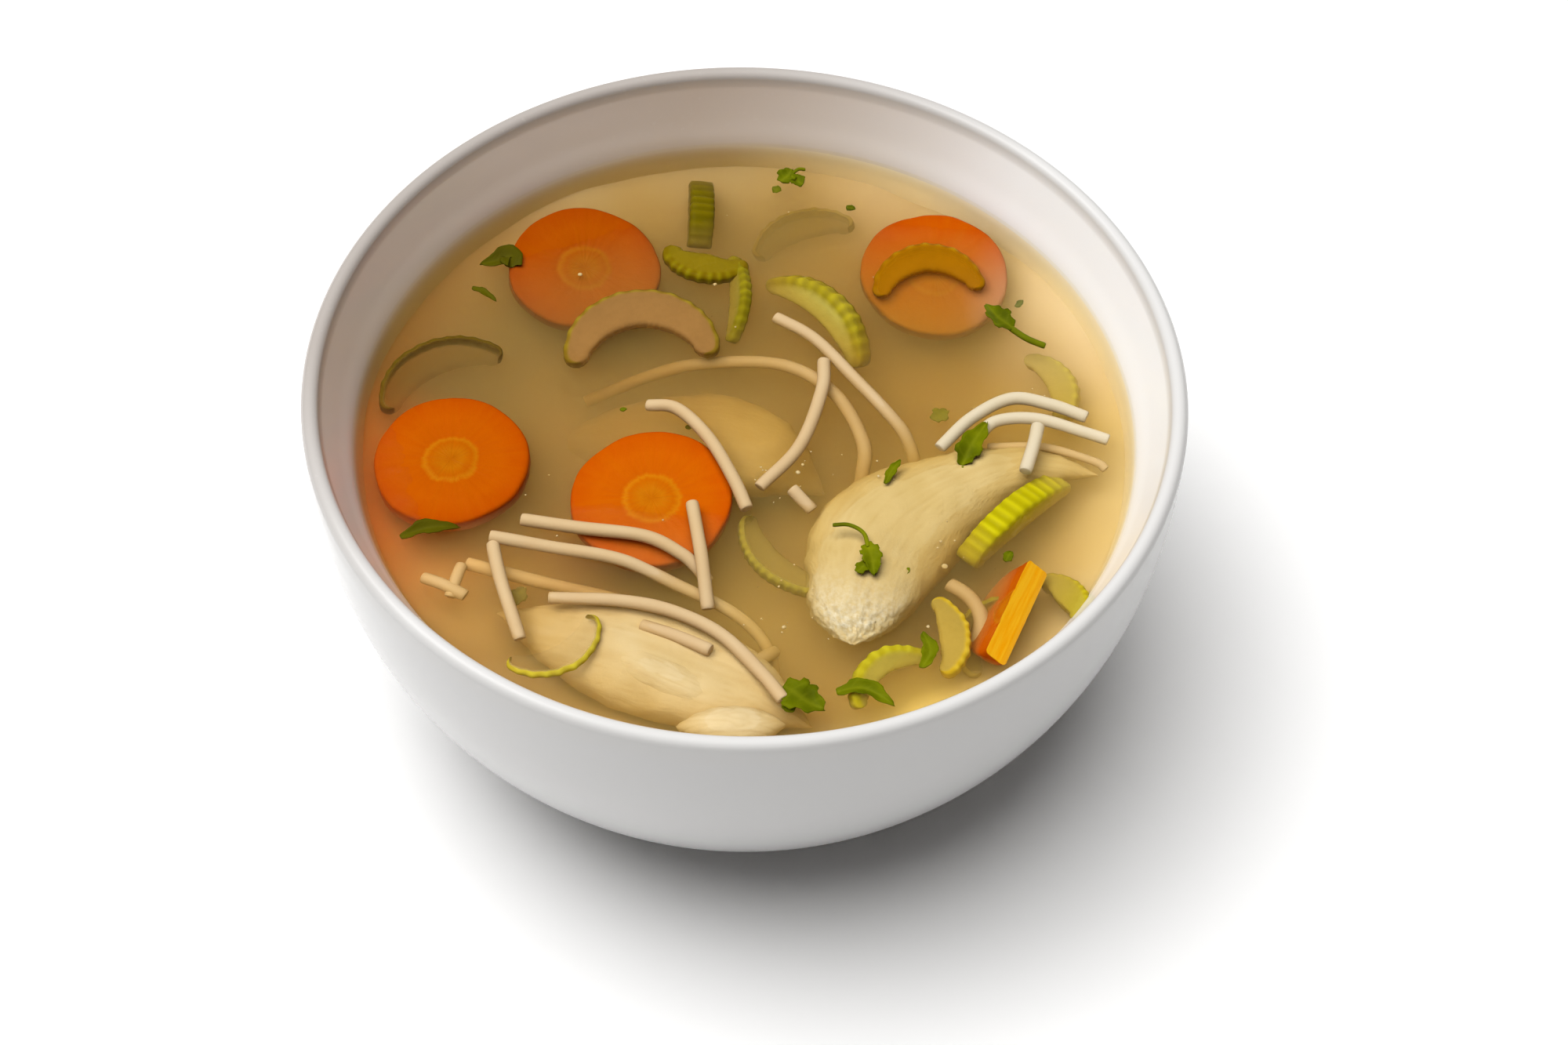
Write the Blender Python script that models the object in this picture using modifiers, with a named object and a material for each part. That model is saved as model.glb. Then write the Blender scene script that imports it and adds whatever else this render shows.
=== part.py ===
"""Bowl of chicken noodle soup.

A plain round ceramic bowl on a low foot ring, filled with clear broth to a
finger's width under its rim.  Carrot slices, celery slices, pieces of chicken
and thin wheat noodles break the surface of the broth; the broth is cut round
each of them.  Metres, +Z up, origin under the middle of the foot ring.
"""
import math
import random

import bmesh
import bpy
from mathutils import Matrix, Vector
from mathutils.noise import noise

MM = 0.001

# ---------------------------------------------------------------- bowl
BOWL_HEIGHT = 70.0          # foot to rim
RIM_RADIUS = 75.0           # outer radius at the rim
BELLY_DEPTH = 90.06         # depth at which the outer curve would close
BELLY_POWER = 2.45
BELLY_ROOT = 1.44
LIP_THICKNESS = 3.6         # wall at the rim
FOOT_RADIUS = 37.5          # outer radius of the foot ring
FOOT_HEIGHT = 4.0
FOOT_WIDTH = 4.0            # flat ring that the bowl stands on
FOOT_RECESS = 2.2           # hollow inside the foot ring
INNER_DEPTH = 62.7          # depth of the inside at the middle
SEGMENTS = 48

# ---------------------------------------------------------------- broth
SOUP_LEVEL = 56.8           # height of the liquid's surface
GAP = 0.30                  # clearance between touching solids
CUT = 0.36                  # clearance of a cutter round its piece

# ---------------------------------------------------------------- pieces
NOODLE_RADIUS = 1.25
CARROT_THICKNESS = 3.8
CELERY_SLICE = 3.4          # how thick the celery is cut


def wipe():
    for ob in list(bpy.data.objects):
        bpy.data.objects.remove(ob, do_unlink=True)


wipe()
scene = bpy.context.scene
parts = bpy.data.collections.new("chicken_noodle_soup")
tools = bpy.data.collections.new("cutters")
scene.collection.children.link(parts)
scene.collection.children.link(tools)


def material(name, colour, roughness, metallic=0.0):
    mat = bpy.data.materials.new(name)
    mat.use_nodes = True
    bsdf = mat.node_tree.nodes["Principled BSDF"]
    bsdf.inputs["Base Color"].default_value = (*colour, 1.0)
    bsdf.inputs["Roughness"].default_value = roughness
    bsdf.inputs["Metallic"].default_value = metallic
    mat.diffuse_color = (*colour, 1.0)
    return mat


M_BOWL = material("white_glaze", (0.86, 0.85, 0.85), 0.22)
M_BROTH = material("clear_broth", (0.50, 0.33, 0.11), 0.05)
M_CARROT = material("cooked_carrot", (0.80, 0.19, 0.01), 0.35)
M_CELERY = material("cooked_celery", (0.42, 0.47, 0.05), 0.35)
M_CHICKEN = material("poached_chicken", (0.78, 0.62, 0.32), 0.5)
M_NOODLE = material("wheat_noodle", (0.80, 0.66, 0.42), 0.4)


def put(ob, mat, collection=parts):
    for c in list(ob.users_collection):
        c.objects.unlink(ob)
    collection.objects.link(ob)
    ob.data.materials.clear()
    ob.data.materials.append(mat)
    return ob


def as_cutter(ob):
    ob.hide_render = True
    ob.display_type = "WIRE"
    return ob


def smooth(mesh, angle=35.0):
    mesh.shade_smooth()
    mesh.set_sharp_from_angle(angle=math.radians(angle))


def face_outwards(bm):
    bmesh.ops.recalc_face_normals(bm, faces=bm.faces)
    if bm.calc_volume(signed=True) < 0.0:
        bmesh.ops.reverse_faces(bm, faces=bm.faces)


def to_mesh(ob):
    """A curve object as a welded mesh object in the same place."""
    deps = bpy.context.evaluated_depsgraph_get()
    mesh = bpy.data.meshes.new_from_object(ob.evaluated_get(deps))
    bm = bmesh.new()
    bm.from_mesh(mesh)
    bmesh.ops.remove_doubles(bm, verts=bm.verts, dist=0.00001)
    face_outwards(bm)
    bm.to_mesh(mesh)
    bm.free()
    new = bpy.data.objects.new(ob.name + "_mesh", mesh)
    new.matrix_world = ob.matrix_world.copy()
    name = ob.name
    for c in list(ob.users_collection):
        c.objects.link(new)
    bpy.data.objects.remove(ob, do_unlink=True)
    new.name = name
    return new


# ---------------------------------------------------------------- turned shapes
def outer_radius(depth):
    """Outer radius of the bowl at a depth below the rim."""
    return RIM_RADIUS * (1.0 - (depth / BELLY_DEPTH) ** BELLY_POWER) ** (1.0 / BELLY_ROOT)


INNER_KNOTS = [(2.0, 71.2), (8.0, 69.3), (13.0, 67.2), (18.0, 66.4), (24.0, 65.2),
               (32.0, 62.6), (41.0, 58.0), (50.0, 50.6), (57.0, 41.0),
               (61.0, 28.0), (INNER_DEPTH, 0.0)]


def inner_radius(depth):
    """Inner radius of the bowl at a depth, straight between its named knots."""
    if depth <= INNER_KNOTS[0][0]:
        return INNER_KNOTS[0][1]
    for (d0, r0), (d1, r1) in zip(INNER_KNOTS, INNER_KNOTS[1:]):
        if depth <= d1:
            return r0 + (r1 - r0) * (depth - d0) / (d1 - d0)
    return 0.0


def turned(name, profile, mat, collection=parts):
    """A profile of (radius, height) in mm, turned round the Z axis."""
    mesh = bpy.data.meshes.new(name)
    bm = bmesh.new()
    verts = [bm.verts.new((r * MM, 0.0, z * MM)) for r, z in profile]
    for a, b in zip(verts, verts[1:]):
        bm.edges.new((a, b))
    bm.to_mesh(mesh)
    bm.free()
    ob = bpy.data.objects.new(name, mesh)
    put(ob, mat, collection)
    screw = ob.modifiers.new("turn", "SCREW")
    screw.axis = "Z"
    screw.angle = math.tau
    screw.steps = SEGMENTS
    screw.render_steps = SEGMENTS
    screw.use_merge_vertices = True
    screw.merge_threshold = 0.00001
    screw.use_normal_calculate = False
    screw.use_smooth_shade = True
    return ob


def bowl_profile():
    """From the inside's middle over the rim, down the outside, to the foot's middle."""
    inside = [(r, BOWL_HEIGHT - d) for d, r in reversed(INNER_KNOTS)]
    half = LIP_THICKNESS / 2.0
    lip_mid = RIM_RADIUS - half
    lip = [(lip_mid + half * math.cos(a), BOWL_HEIGHT - half + half * math.sin(a))
           for a in [math.radians(v) for v in (140, 95, 50, 5)]]
    outside = [(outer_radius(d), BOWL_HEIGHT - d) for d in (10, 22, 33, 43, 52, 60)]
    foot_top = FOOT_HEIGHT
    foot = [(FOOT_RADIUS + 3.2, foot_top + 1.0), (FOOT_RADIUS + 0.2, foot_top - 1.0),
            (FOOT_RADIUS - 0.4, 0.0), (FOOT_RADIUS - 0.4 - FOOT_WIDTH, 0.0),
            (FOOT_RADIUS - 1.2 - FOOT_WIDTH, FOOT_RECESS), (0.0, FOOT_RECESS)]
    return inside + lip + outside + foot


turned("bowl", bowl_profile(), M_BOWL)


def broth_profile():
    """From the surface's middle to the wall and down its inside."""
    depths = [BOWL_HEIGHT - SOUP_LEVEL] + [d for d, r in INNER_KNOTS[3:-1]]
    wall = [(inner_radius(d) - GAP * 1.15, BOWL_HEIGHT - d + (0.0 if i == 0 else GAP * 0.6))
            for i, d in enumerate(depths)]
    return [(0.0, SOUP_LEVEL)] + wall + [(0.0, BOWL_HEIGHT - INNER_DEPTH + GAP * 1.3)]


# ---------------------------------------------------------------- carrots
def place(ob, x, y, z, tilt=0.0, toward=0.0, turn=0.0):
    """Stand a piece at x, y and z over the soup's level, leaning down towards a heading."""
    axis = Vector((-math.sin(math.radians(toward)), math.cos(math.radians(toward)), 0.0))
    lean = Matrix.Rotation(math.radians(tilt), 4, axis)
    spin = Matrix.Rotation(math.radians(turn), 4, "Z")
    ob.matrix_world = Matrix.Translation((x * MM, y * MM, (SOUP_LEVEL + z) * MM)) @ lean @ spin
    return ob


def carrot(name, radius, seed, grow=0.0, half=False, thick=CARROT_THICKNESS, collection=parts):
    """A slice of carrot, its top face at local z 0: not quite round, edges softened."""
    n = 24 if grow else 28
    bpy.ops.mesh.primitive_cylinder_add(vertices=n, radius=1.0, depth=1.0)
    ob = bpy.context.active_object
    ob.name = name
    bm = bmesh.new()
    bm.from_mesh(ob.data)
    for v in bm.verts:
        a = math.atan2(v.co.y, v.co.x)
        r = radius * (1.0 + 0.018 * math.cos(2 * a + seed) + 0.010 * math.cos(3 * a + 2.1 * seed)
                      + 0.006 * math.cos(7 * a + 1.3 * seed)) + grow
        v.co.x, v.co.y = r * math.cos(a) * MM, r * math.sin(a) * MM
        v.co.z = (grow if v.co.z > 0 else -thick - grow) * MM
    if half:
        cut = bmesh.ops.bisect_plane(bm, geom=bm.verts[:] + bm.edges[:] + bm.faces[:],
                                     plane_co=(grow * MM, 0, 0), plane_no=(1, 0, 0),
                                     clear_outer=True, dist=1e-7)
        edges = [e for e in bm.edges if e.is_boundary]
        bmesh.ops.edgeloop_fill(bm, edges=edges)
    face_outwards(bm)
    bm.to_mesh(ob.data)
    bm.free()
    if grow == 0.0:
        bev = ob.modifiers.new("soft_edge", "BEVEL")
        bev.width = 0.45 * MM
        bev.segments = 1
        bev.limit_method = "ANGLE"
        bev.angle_limit = math.radians(50)
    put(ob, M_CARROT, collection)
    return ob


# x, y, height of the face's middle over the soup, lean, heading of the lean, radius, seed
CARROTS = {
    "carrot_slice_1": (-29.0, 37.2, -0.9, 9.5, 292, 13.3, 0.4),
    "carrot_slice_2": (33.4, 37.6, -1.55, 9.0, 265, 13.2, 1.9),
    "carrot_slice_3": (-50.0, -7.7, 0.35, 2.2, 200, 13.5, 3.1),
    "carrot_slice_4": (-15.6, -15.4, 0.3, 6.0, 265, 13.7, 4.6),
}
# the half slice that stands on its rim: x, y, height, lean, heading of the lean, turn, radius, seed
HALF_CARROT = (44.2, -37.8, 1.9, 58.0, 158.0, -22.0, 10.2, 2.6)


# ---------------------------------------------------------------- celery
def crescent(radius, spread, wall, ridge, count, grow=0.0, outer=22, inner=8):
    """Outline of a celery slice: a round-ended band, ribbed on its outer side."""
    def width(t):
        return wall * (1.0 - 0.42 * abs(t) ** 2.4)
    pts = []
    for i in range(outer + 1):
        t = -1.0 + 2.0 * i / outer
        a = math.radians(spread) * t
        r = radius + ridge * (0.5 + 0.5 * math.cos(math.pi * count * t)) * (1 - 0.5 * t * t) + grow
        pts.append((r * math.sin(a), r * math.cos(a)))
    def cap(side):
        t = side
        a = math.radians(spread) * t
        w = width(1.0) / 2.0
        mid = radius - w
        cx, cy = mid * math.sin(a), mid * math.cos(a)
        out = []
        for k in (1, 2, 3):
            b = math.pi * k / 4.0
            rr = w + grow
            along = math.sin(b) * side
            radial = math.cos(b)
            out.append((cx + rr * (radial * math.sin(a) + along * math.cos(a)),
                        cy + rr * (radial * math.cos(a) - along * math.sin(a))))
        return out
    pts += cap(1.0)
    for i in range(inner + 1):
        t = 1.0 - 2.0 * i / inner
        a = math.radians(spread) * t
        r = radius - width(t) - grow
        pts.append((r * math.sin(a), r * math.cos(a)))
    pts += list(reversed(cap(-1.0)))
    return pts


def celery(name, radius, spread, wall, count, grow=0.0, slice_=CELERY_SLICE, collection=parts):
    """A slice across a celery stalk, its top face at local z 0, its back towards local +Y."""
    ridge = 0.0 if grow else 0.42
    pts = crescent(radius + (0.42 if grow else 0.0), spread, wall + (0.42 if grow else 0.0),
                   ridge, count, grow, outer=10 if grow else 22, inner=6 if grow else 8)
    curve = bpy.data.curves.new(name, "CURVE")
    curve.dimensions = "2D"
    curve.fill_mode = "BOTH"
    curve.extrude = (slice_ / 2.0 + grow) * MM
    line = curve.splines.new("POLY")
    line.points.add(len(pts) - 1)
    for p, (x, y) in zip(line.points, pts):
        p.co = (x * MM, y * MM, 0.0, 1.0)
    line.use_cyclic_u = True
    ob = bpy.data.objects.new(name, curve)
    put(ob, M_CELERY, collection)
    ob = to_mesh(ob)
    for v in ob.data.vertices:
        v.co.z -= slice_ / 2.0 * MM
        v.co.y -= radius * MM * 0.5
    put(ob, M_CELERY, collection)
    return ob


# x, y, z of the slice's middle, lean, heading of the lean, turn, radius, half spread, wall, ribs, thickness
CELERY = {
    "celery_slice_1": (-18.9, 24.3, 0.6, 3.0, 250, 6, 13.6, 88, 7.6, 13, 2.6),
    "celery_slice_2": (31.8, 37.4, 1.15, 8.2, 265, 6, 10.0, 82, 5.6, 10, 1.9),
    "celery_slice_3": (-7.6, 39.0, 0.2, 8.0, 70, 166, 9.2, 54, 5.2, 9, 2.4),
    "celery_slice_4": (11.2, 26.2, -4.0, 50.0, 220, -50, 15.6, 52, 6.0, 11, 3.6),
    "celery_slice_5": (-3.2, 26.8, -4.9, 52.0, 180, -90, 14.6, 27, 4.2, 8, 2.2),
    "celery_slice_6": (-53.6, 12.6, -0.55, 5.0, 310, 34, 13.4, 62, 6.6, 11, 3.2),
    "celery_slice_7": (48.0, -18.4, -8.9, 84.0, 316, 46, 20.0, 35, 6.0, 12, 3.6),
    "celery_slice_8": (-30.0, -46.8, 0.45, 4.0, 140, 215, 9.4, 66, 5.4, 9, 1.6),
    "celery_slice_9": (24.6, -51.0, -0.4, 28.0, 320, 40, 9.4, 62, 4.2, 9, 2.6),
    "celery_slice_10": (-11.6, 51.6, -5.2, 82.0, 180, -90, 12.0, 38, 4.5, 8, 3.2),
    "celery_slice_11": (32.6, -42.9, 0.1, 8.0, 190, -85, 10.0, 48, 5.0, 9, 2.6),
}


# ---------------------------------------------------------------- chicken
def spine_point(knots, t):
    """Centripetal-free Catmull-Rom through the knots, t from 0 to 1."""
    n = len(knots) - 1
    s = min(max(t, 0.0), 1.0) * n
    i = min(int(s), n - 1)
    f = s - i
    p1, p2 = knots[i], knots[i + 1]
    p0 = knots[i - 1] if i > 0 else [2 * a - b for a, b in zip(p1, p2)]
    p3 = knots[i + 2] if i + 2 <= n else [2 * a - b for a, b in zip(p2, p1)]
    return [0.5 * (2 * b + (c - a) * f + (2 * a - 5 * b + 4 * c - d) * f * f
                   + (3 * b - a - 3 * c + d) * f ** 3) for a, b, c, d in zip(p0, p1, p2, p3)]


def chunk(name, knots, lumps, seed, grow=0.0, collection=parts, around=16, along=11):
    """A torn piece of meat round a bent spine.  A knot is x, y, top, half width, depth."""
    ob_mesh = bpy.data.meshes.new(name)
    bm = bmesh.new()
    bmesh.ops.create_uvsphere(bm, u_segments=around, v_segments=along, radius=1.0)
    for v in bm.verts:
        u = v.co.copy()
        t = 0.5 + 0.5 * math.asin(max(-1.0, min(1.0, u.z))) / (math.pi / 2)
        t = 0.5 - 0.5 * math.cos(math.pi * t) * 0.55 + (t - 0.5) * 0.45
        x, y, top, half, deep = spine_point(knots, t)
        x1, y1 = spine_point(knots, min(1.0, t + 0.02))[:2]
        x0, y0 = spine_point(knots, max(0.0, t - 0.02))[:2]
        d = Vector((x1 - x0, y1 - y0, 0.0)).normalized()
        side = Vector((d.y, -d.x, 0.0))
        ring = Vector((u.x, u.y))
        size = ring.length
        end = min(1.0, (1.0 - abs(u.z) ** 3.0))
        ca, sa = (ring / size if size > 1e-6 else ring)
        flat = math.copysign(abs(sa) ** 0.8, sa)
        spread = end ** 0.5
        mid = top - deep / 2.0
        p = Vector((x, y, mid)) + side * (ca * half * spread) + Vector((0, 0, 1)) * (flat * deep / 2 * spread)
        n = noise(Vector((p.x * 0.16, p.y * 0.16, seed)))
        m = noise(Vector((p.x * 0.35, p.y * 0.35, p.z * 0.3 + seed)))
        p.z += lumps * n * (1.0 if sa > 0 else 0.5)
        p += side * (lumps * 0.8 * m * ca)
        out = (side * ca + Vector((0, 0, sa)) + d * u.z * 1.0)
        if out.length > 1e-6 and grow:
            p += out.normalized() * grow
        v.co = Vector((p.x, p.y, p.z + SOUP_LEVEL)) * MM
    face_outwards(bm)
    bm.to_mesh(ob_mesh)
    bm.free()
    ob = bpy.data.objects.new(name, ob_mesh)
    put(ob, M_CHICKEN, collection)
    return ob


# knots of (x, y, top over the soup, half width, depth), then lumpiness and seed
CHICKEN = {
    "chicken_piece_1": ([(19.2, -44.0, 3.0, 5.0, 9.0), (20.0, -33.0, 2.8, 9.0, 13.0),
                         (24.5, -20.0, 0.7, 11.5, 15.0), (36.0, -10.6, 0.5, 8.0, 13.0),
                         (47.0, -5.8, 0.4, 3.6, 8.0), (53.8, -4.6, 0.0, 2.0, 5.0)], 0.55, 3.0),
    "chicken_piece_2": ([(-24.0, -45.5, -1.9, 4.0, 7.0), (-17.0, -49.5, 0.2, 6.5, 10.0),
                         (-9.0, -52.5, 0.4, 6.5, 10.0), (-1.0, -54.5, -1.4, 4.0, 7.0)], 0.5, 7.0),
    "chicken_piece_3": ([(-9.5, -61.0, 0.6, 2.0, 7.0), (-1.0, -61.2, 1.0, 3.0, 8.0),
                         (7.0, -60.4, 0.4, 2.0, 6.0)], 0.35, 11.0),
}


# ---------------------------------------------------------------- noodles
def strand(name, knots, grow=0.0, collection=parts):
    """A noodle through its knots of x, y and the height of its axis over the soup."""
    length = sum(math.dist(a, b) for a, b in zip(knots, knots[1:]))
    count = max(4, int(round(length / 5.6)))
    pts = [Vector(spine_point(knots, i / count)) for i in range(count + 1)]
    if grow:
        pts[0] += (pts[0] - pts[1]).normalized() * grow
        pts[-1] += (pts[-1] - pts[-2]).normalized() * grow
    curve = bpy.data.curves.new(name, "CURVE")
    curve.dimensions = "3D"
    curve.bevel_depth = (NOODLE_RADIUS + grow) * MM
    curve.bevel_resolution = 1
    curve.use_fill_caps = True
    line = curve.splines.new("POLY")
    line.points.add(len(pts) - 1)
    for p, q in zip(line.points, pts):
        p.co = (q.x * MM, q.y * MM, (SOUP_LEVEL + q.z) * MM, 1.0)
    ob = bpy.data.objects.new(name, curve)
    put(ob, M_NOODLE, collection)
    ob = to_mesh(ob)
    put(ob, M_NOODLE, collection)
    return ob


# knots of (x, y, height of the axis over the soup)
NOODLES = {
    "noodle_01": [(5.0, 26.3, -0.7), (12.0, 21.3, -0.6), (18.9, 12.6, -0.8), (24.2, 5.6, -1.0)],
    "noodle_02": [(13.6, 16.0, 0.0), (13.2, 8.8, 0.3), (9.4, -3.5, 0.2), (2.6, -12.2, -0.5)],
    "noodle_03": [(-17.0, 5.6, -0.6), (-11.8, 4.0, 0.7), (-6.3, -3.6, 2.5), (-1.9, -12.3, 2.4),
                  (0.6, -18.4, 1.6)],
    "noodle_04": [(-37.4, -20.4, 0.3), (-27.4, -22.4, 0.8), (-16.5, -24.2, 1.2), (-10.4, -27.4, 0.8)],
    "noodle_05": [(-42.5, -24.0, 0.2), (-32.6, -25.9, 0.0), (-20.0, -28.7, 0.3), (-10.3, -32.8, -1.9),
                  (-3.0, -36.4, -3.1)],
    "noodle_06": [(-41.6, -27.2, 0.0), (-40.2, -33.0, 0.2), (-38.0, -40.0, 0.0), (-36.4, -44.6, -0.9)],
    "noodle_07": [(-8.7, -17.5, 1.9), (-7.7, -23.8, 2.1), (-6.8, -29.5, 1.9), (-5.6, -38.0, -0.7)],
    "noodle_08": [(-32.1, -36.0, -0.9), (-20.3, -36.9, 0.0), (-11.4, -39.2, 0.4), (-3.3, -43.9, 0.5),
                  (3.2, -51.3, 0.5), (7.0, -56.6, 0.3)],
    "noodle_09": [(-16.6, -41.2, -1.1), (-11.0, -43.6, -0.4), (-5.0, -46.9, 0.2)],
    "noodle_10": [(33.4, -3.2, -0.2), (39.2, 3.4, 0.3), (46.1, 7.6, 0.5), (52.8, 6.4, 0.5),
                  (59.0, 3.9, 0.2)],
    "noodle_11": [(39.8, -0.4, -0.8), (43.4, 3.0, -0.2), (50.4, 3.5, 0.0), (58.5, 0.9, -0.3),
                  (62.6, -0.6, -0.5)],
    "noodle_12": [(50.3, 0.2, 2.5), (49.4, -4.0, 2.3), (47.8, -9.6, 1.9)],
    "noodle_13": [(8.1, -12.9, 0.4), (11.7, -16.6, -1.2)],
}


# ---------------------------------------------------------------- assembly
def build_all(grow, collection, suffix=""):
    made = []
    thick = 2.0 * grow
    for name, (x, y, z, tilt, toward, radius, seed) in CARROTS.items():
        ob = carrot(name + suffix, radius, seed, grow, collection=collection)
        made.append(place(ob, x, y, z, tilt, toward))
    x, y, z, tilt, toward, turn, radius, seed = HALF_CARROT
    ob = carrot("carrot_slice_5" + suffix, radius, seed, grow, half=True, thick=3.4, collection=collection)
    made.append(place(ob, x, y, z, tilt, toward, turn))
    for name, (x, y, z, tilt, toward, turn, radius, spread, wall, ribs, thick) in CELERY.items():
        ob = celery(name + suffix, radius, spread, wall, ribs, grow, thick, collection)
        made.append(place(ob, x, y, z, tilt, toward, turn))
    for name, (knots, lumps, seed) in CHICKEN.items():
        made.append(chunk(name + suffix, knots, lumps, seed, grow, collection))
    for name, knots in NOODLES.items():
        made.append(strand(name + suffix, knots, grow, collection))
    return made


pieces = build_all(0.0, parts)
cutters = [as_cutter(ob) for ob in build_all(CUT, tools, "_cut")]

broth = turned("broth", broth_profile(), M_BROTH)
for cutter in cutters:
    cut = broth.modifiers.new(cutter.name, "BOOLEAN")
    cut.operation = "DIFFERENCE"
    cut.solver = "EXACT"
    cut.object = cutter

for ob in pieces:
    if ob.data.polygons:
        smooth(ob.data, 40.0)
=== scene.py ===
"""Looks of the bowl of chicken noodle soup: fine meshes and procedural finishes
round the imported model.  Lengths in the tables are millimetres, and z is the
height over the broth's level, as in the construction."""
import math
import random

import bmesh
import bpy
from mathutils import Matrix, Vector
from mathutils.kdtree import KDTree
from mathutils.noise import noise


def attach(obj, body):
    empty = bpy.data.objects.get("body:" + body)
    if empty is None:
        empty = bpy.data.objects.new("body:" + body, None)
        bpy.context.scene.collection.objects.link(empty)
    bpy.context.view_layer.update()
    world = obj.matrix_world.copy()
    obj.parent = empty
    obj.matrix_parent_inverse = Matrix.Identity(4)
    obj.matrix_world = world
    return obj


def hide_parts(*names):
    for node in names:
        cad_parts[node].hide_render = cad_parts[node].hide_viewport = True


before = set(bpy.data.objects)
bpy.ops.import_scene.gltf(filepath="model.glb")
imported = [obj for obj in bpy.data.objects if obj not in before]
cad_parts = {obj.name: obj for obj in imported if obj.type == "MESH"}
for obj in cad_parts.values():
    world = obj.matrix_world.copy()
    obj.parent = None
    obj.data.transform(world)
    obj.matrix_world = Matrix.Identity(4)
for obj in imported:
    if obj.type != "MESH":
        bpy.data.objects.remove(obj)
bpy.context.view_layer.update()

MM = 0.001
HEIGHT = 70.0
LEVEL = 56.8
RIM = 75.0
WALL_AT_LEVEL = 67.15
NOODLE_R = 1.25


# ------------------------------------------------------------------ node helpers
class Nodes:
    """Short ways to write a node tree."""

    def __init__(self, name):
        self.mat = bpy.data.materials.new(name)
        self.mat.use_nodes = True
        self.nt = self.mat.node_tree
        self.nt.nodes.clear()
        self.out = self.nt.nodes.new("ShaderNodeOutputMaterial")

    def new(self, kind, **props):
        n = self.nt.nodes.new(kind)
        for k, v in props.items():
            setattr(n, k, v)
        return n

    def link(self, a, b):
        self.nt.links.new(a, b)

    def put(self, socket, value):
        if isinstance(value, bpy.types.NodeSocket):
            self.link(value, socket)
        elif isinstance(value, (tuple, list)) and len(value) == 3 and socket.type == "RGBA":
            socket.default_value = (*value, 1.0)
        else:
            socket.default_value = value

    def math(self, op, a, b=0.0, c=0.0, clamp=False):
        n = self.new("ShaderNodeMath", operation=op, use_clamp=clamp)
        for s, v in zip(n.inputs, (a, b, c)):
            self.put(s, v)
        return n.outputs[0]

    def vec(self, op, a, b=(0, 0, 0), c=(0, 0, 0)):
        n = self.new("ShaderNodeVectorMath", operation=op)
        self.put(n.inputs[0], a)
        self.put(n.inputs[1], b)
        if op == "MULTIPLY_ADD":
            self.put(n.inputs[2], c)
        return n.outputs["Value"] if op in ("LENGTH", "DOT_PRODUCT", "DISTANCE") else n.outputs["Vector"]

    def mix(self, fac, a, b, blend="MIX"):
        n = self.new("ShaderNodeMix", data_type="RGBA", blend_type=blend)
        self.put(n.inputs[0], fac)
        self.put(n.inputs[6], a)
        self.put(n.inputs[7], b)
        return n.outputs[2]

    def ramp(self, fac, stops, mode="LINEAR"):
        n = self.new("ShaderNodeValToRGB")
        n.color_ramp.interpolation = mode
        e = n.color_ramp.elements
        while len(e) < len(stops):
            e.new(0.5)
        for el, (p, c) in zip(e, stops):
            el.position = p
            el.color = (*c, 1.0) if isinstance(c, (tuple, list)) else (c, c, c, 1.0)
        self.put(n.inputs[0], fac)
        return n.outputs[0]

    def noise(self, scale, detail=3.0, rough=0.55, coords=None, distort=0.0):
        n = self.new("ShaderNodeTexNoise")
        n.inputs["Scale"].default_value = scale
        n.inputs["Detail"].default_value = detail
        n.inputs["Roughness"].default_value = rough
        n.inputs["Distortion"].default_value = distort
        self.link(coords if coords is not None else self.position(), n.inputs["Vector"])
        return n.outputs["Fac"]

    def position(self):
        if not hasattr(self, "_pos"):
            self._pos = self.new("ShaderNodeNewGeometry").outputs["Position"]
        return self._pos

    def local(self):
        if not hasattr(self, "_loc"):
            self._loc = self.new("ShaderNodeTexCoord").outputs["Object"]
        return self._loc

    def xyz(self, v):
        n = self.new("ShaderNodeSeparateXYZ")
        self.link(v, n.inputs[0])
        return n.outputs

    def attr(self, name):
        n = self.new("ShaderNodeAttribute", attribute_name=name)
        n.attribute_type = "GEOMETRY"
        return n.outputs["Fac"]

    def bump(self, height, strength, distance=0.001, normal=None):
        n = self.new("ShaderNodeBump")
        n.inputs["Strength"].default_value = strength
        n.inputs["Distance"].default_value = distance
        self.link(height, n.inputs["Height"])
        if normal is not None:
            self.link(normal, n.inputs["Normal"])
        return n.outputs["Normal"]

    def principled(self, colour, rough, normal=None, **sockets):
        n = self.new("ShaderNodeBsdfPrincipled")
        self.put(n.inputs["Base Color"], colour)
        self.put(n.inputs["Roughness"], rough)
        if normal is not None:
            self.link(normal, n.inputs["Normal"])
        for k, v in sockets.items():
            n.inputs[k.replace("_", " ")].default_value = v
        self.link(n.outputs[0], self.out.inputs["Surface"])
        return n


LIGHT = 1.61        # what a level white surface shows as on this stage


def seen(r, g, b):
    """The base colour of a level surface that shows as this 8-bit colour on the stage."""
    return tuple(((c / 255 + 0.055) / 1.055) ** 2.4 / LIGHT if c > 10 else c / 255 / 12.92 / LIGHT for c in (r, g, b))


# What a cloudy broth does to what is under it: each channel fades with depth towards the broth's own colour.
FADE = (0.15, 0.17, 0.25)         # per mm of depth
CARROT_FADE = (0.20, 0.23, 0.30)
MEAT_FADE = (0.11, 0.13, 0.19)
WALL_FADE = (0.16, 0.19, 0.27)
HAZE = seen(158, 113, 36)


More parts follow.
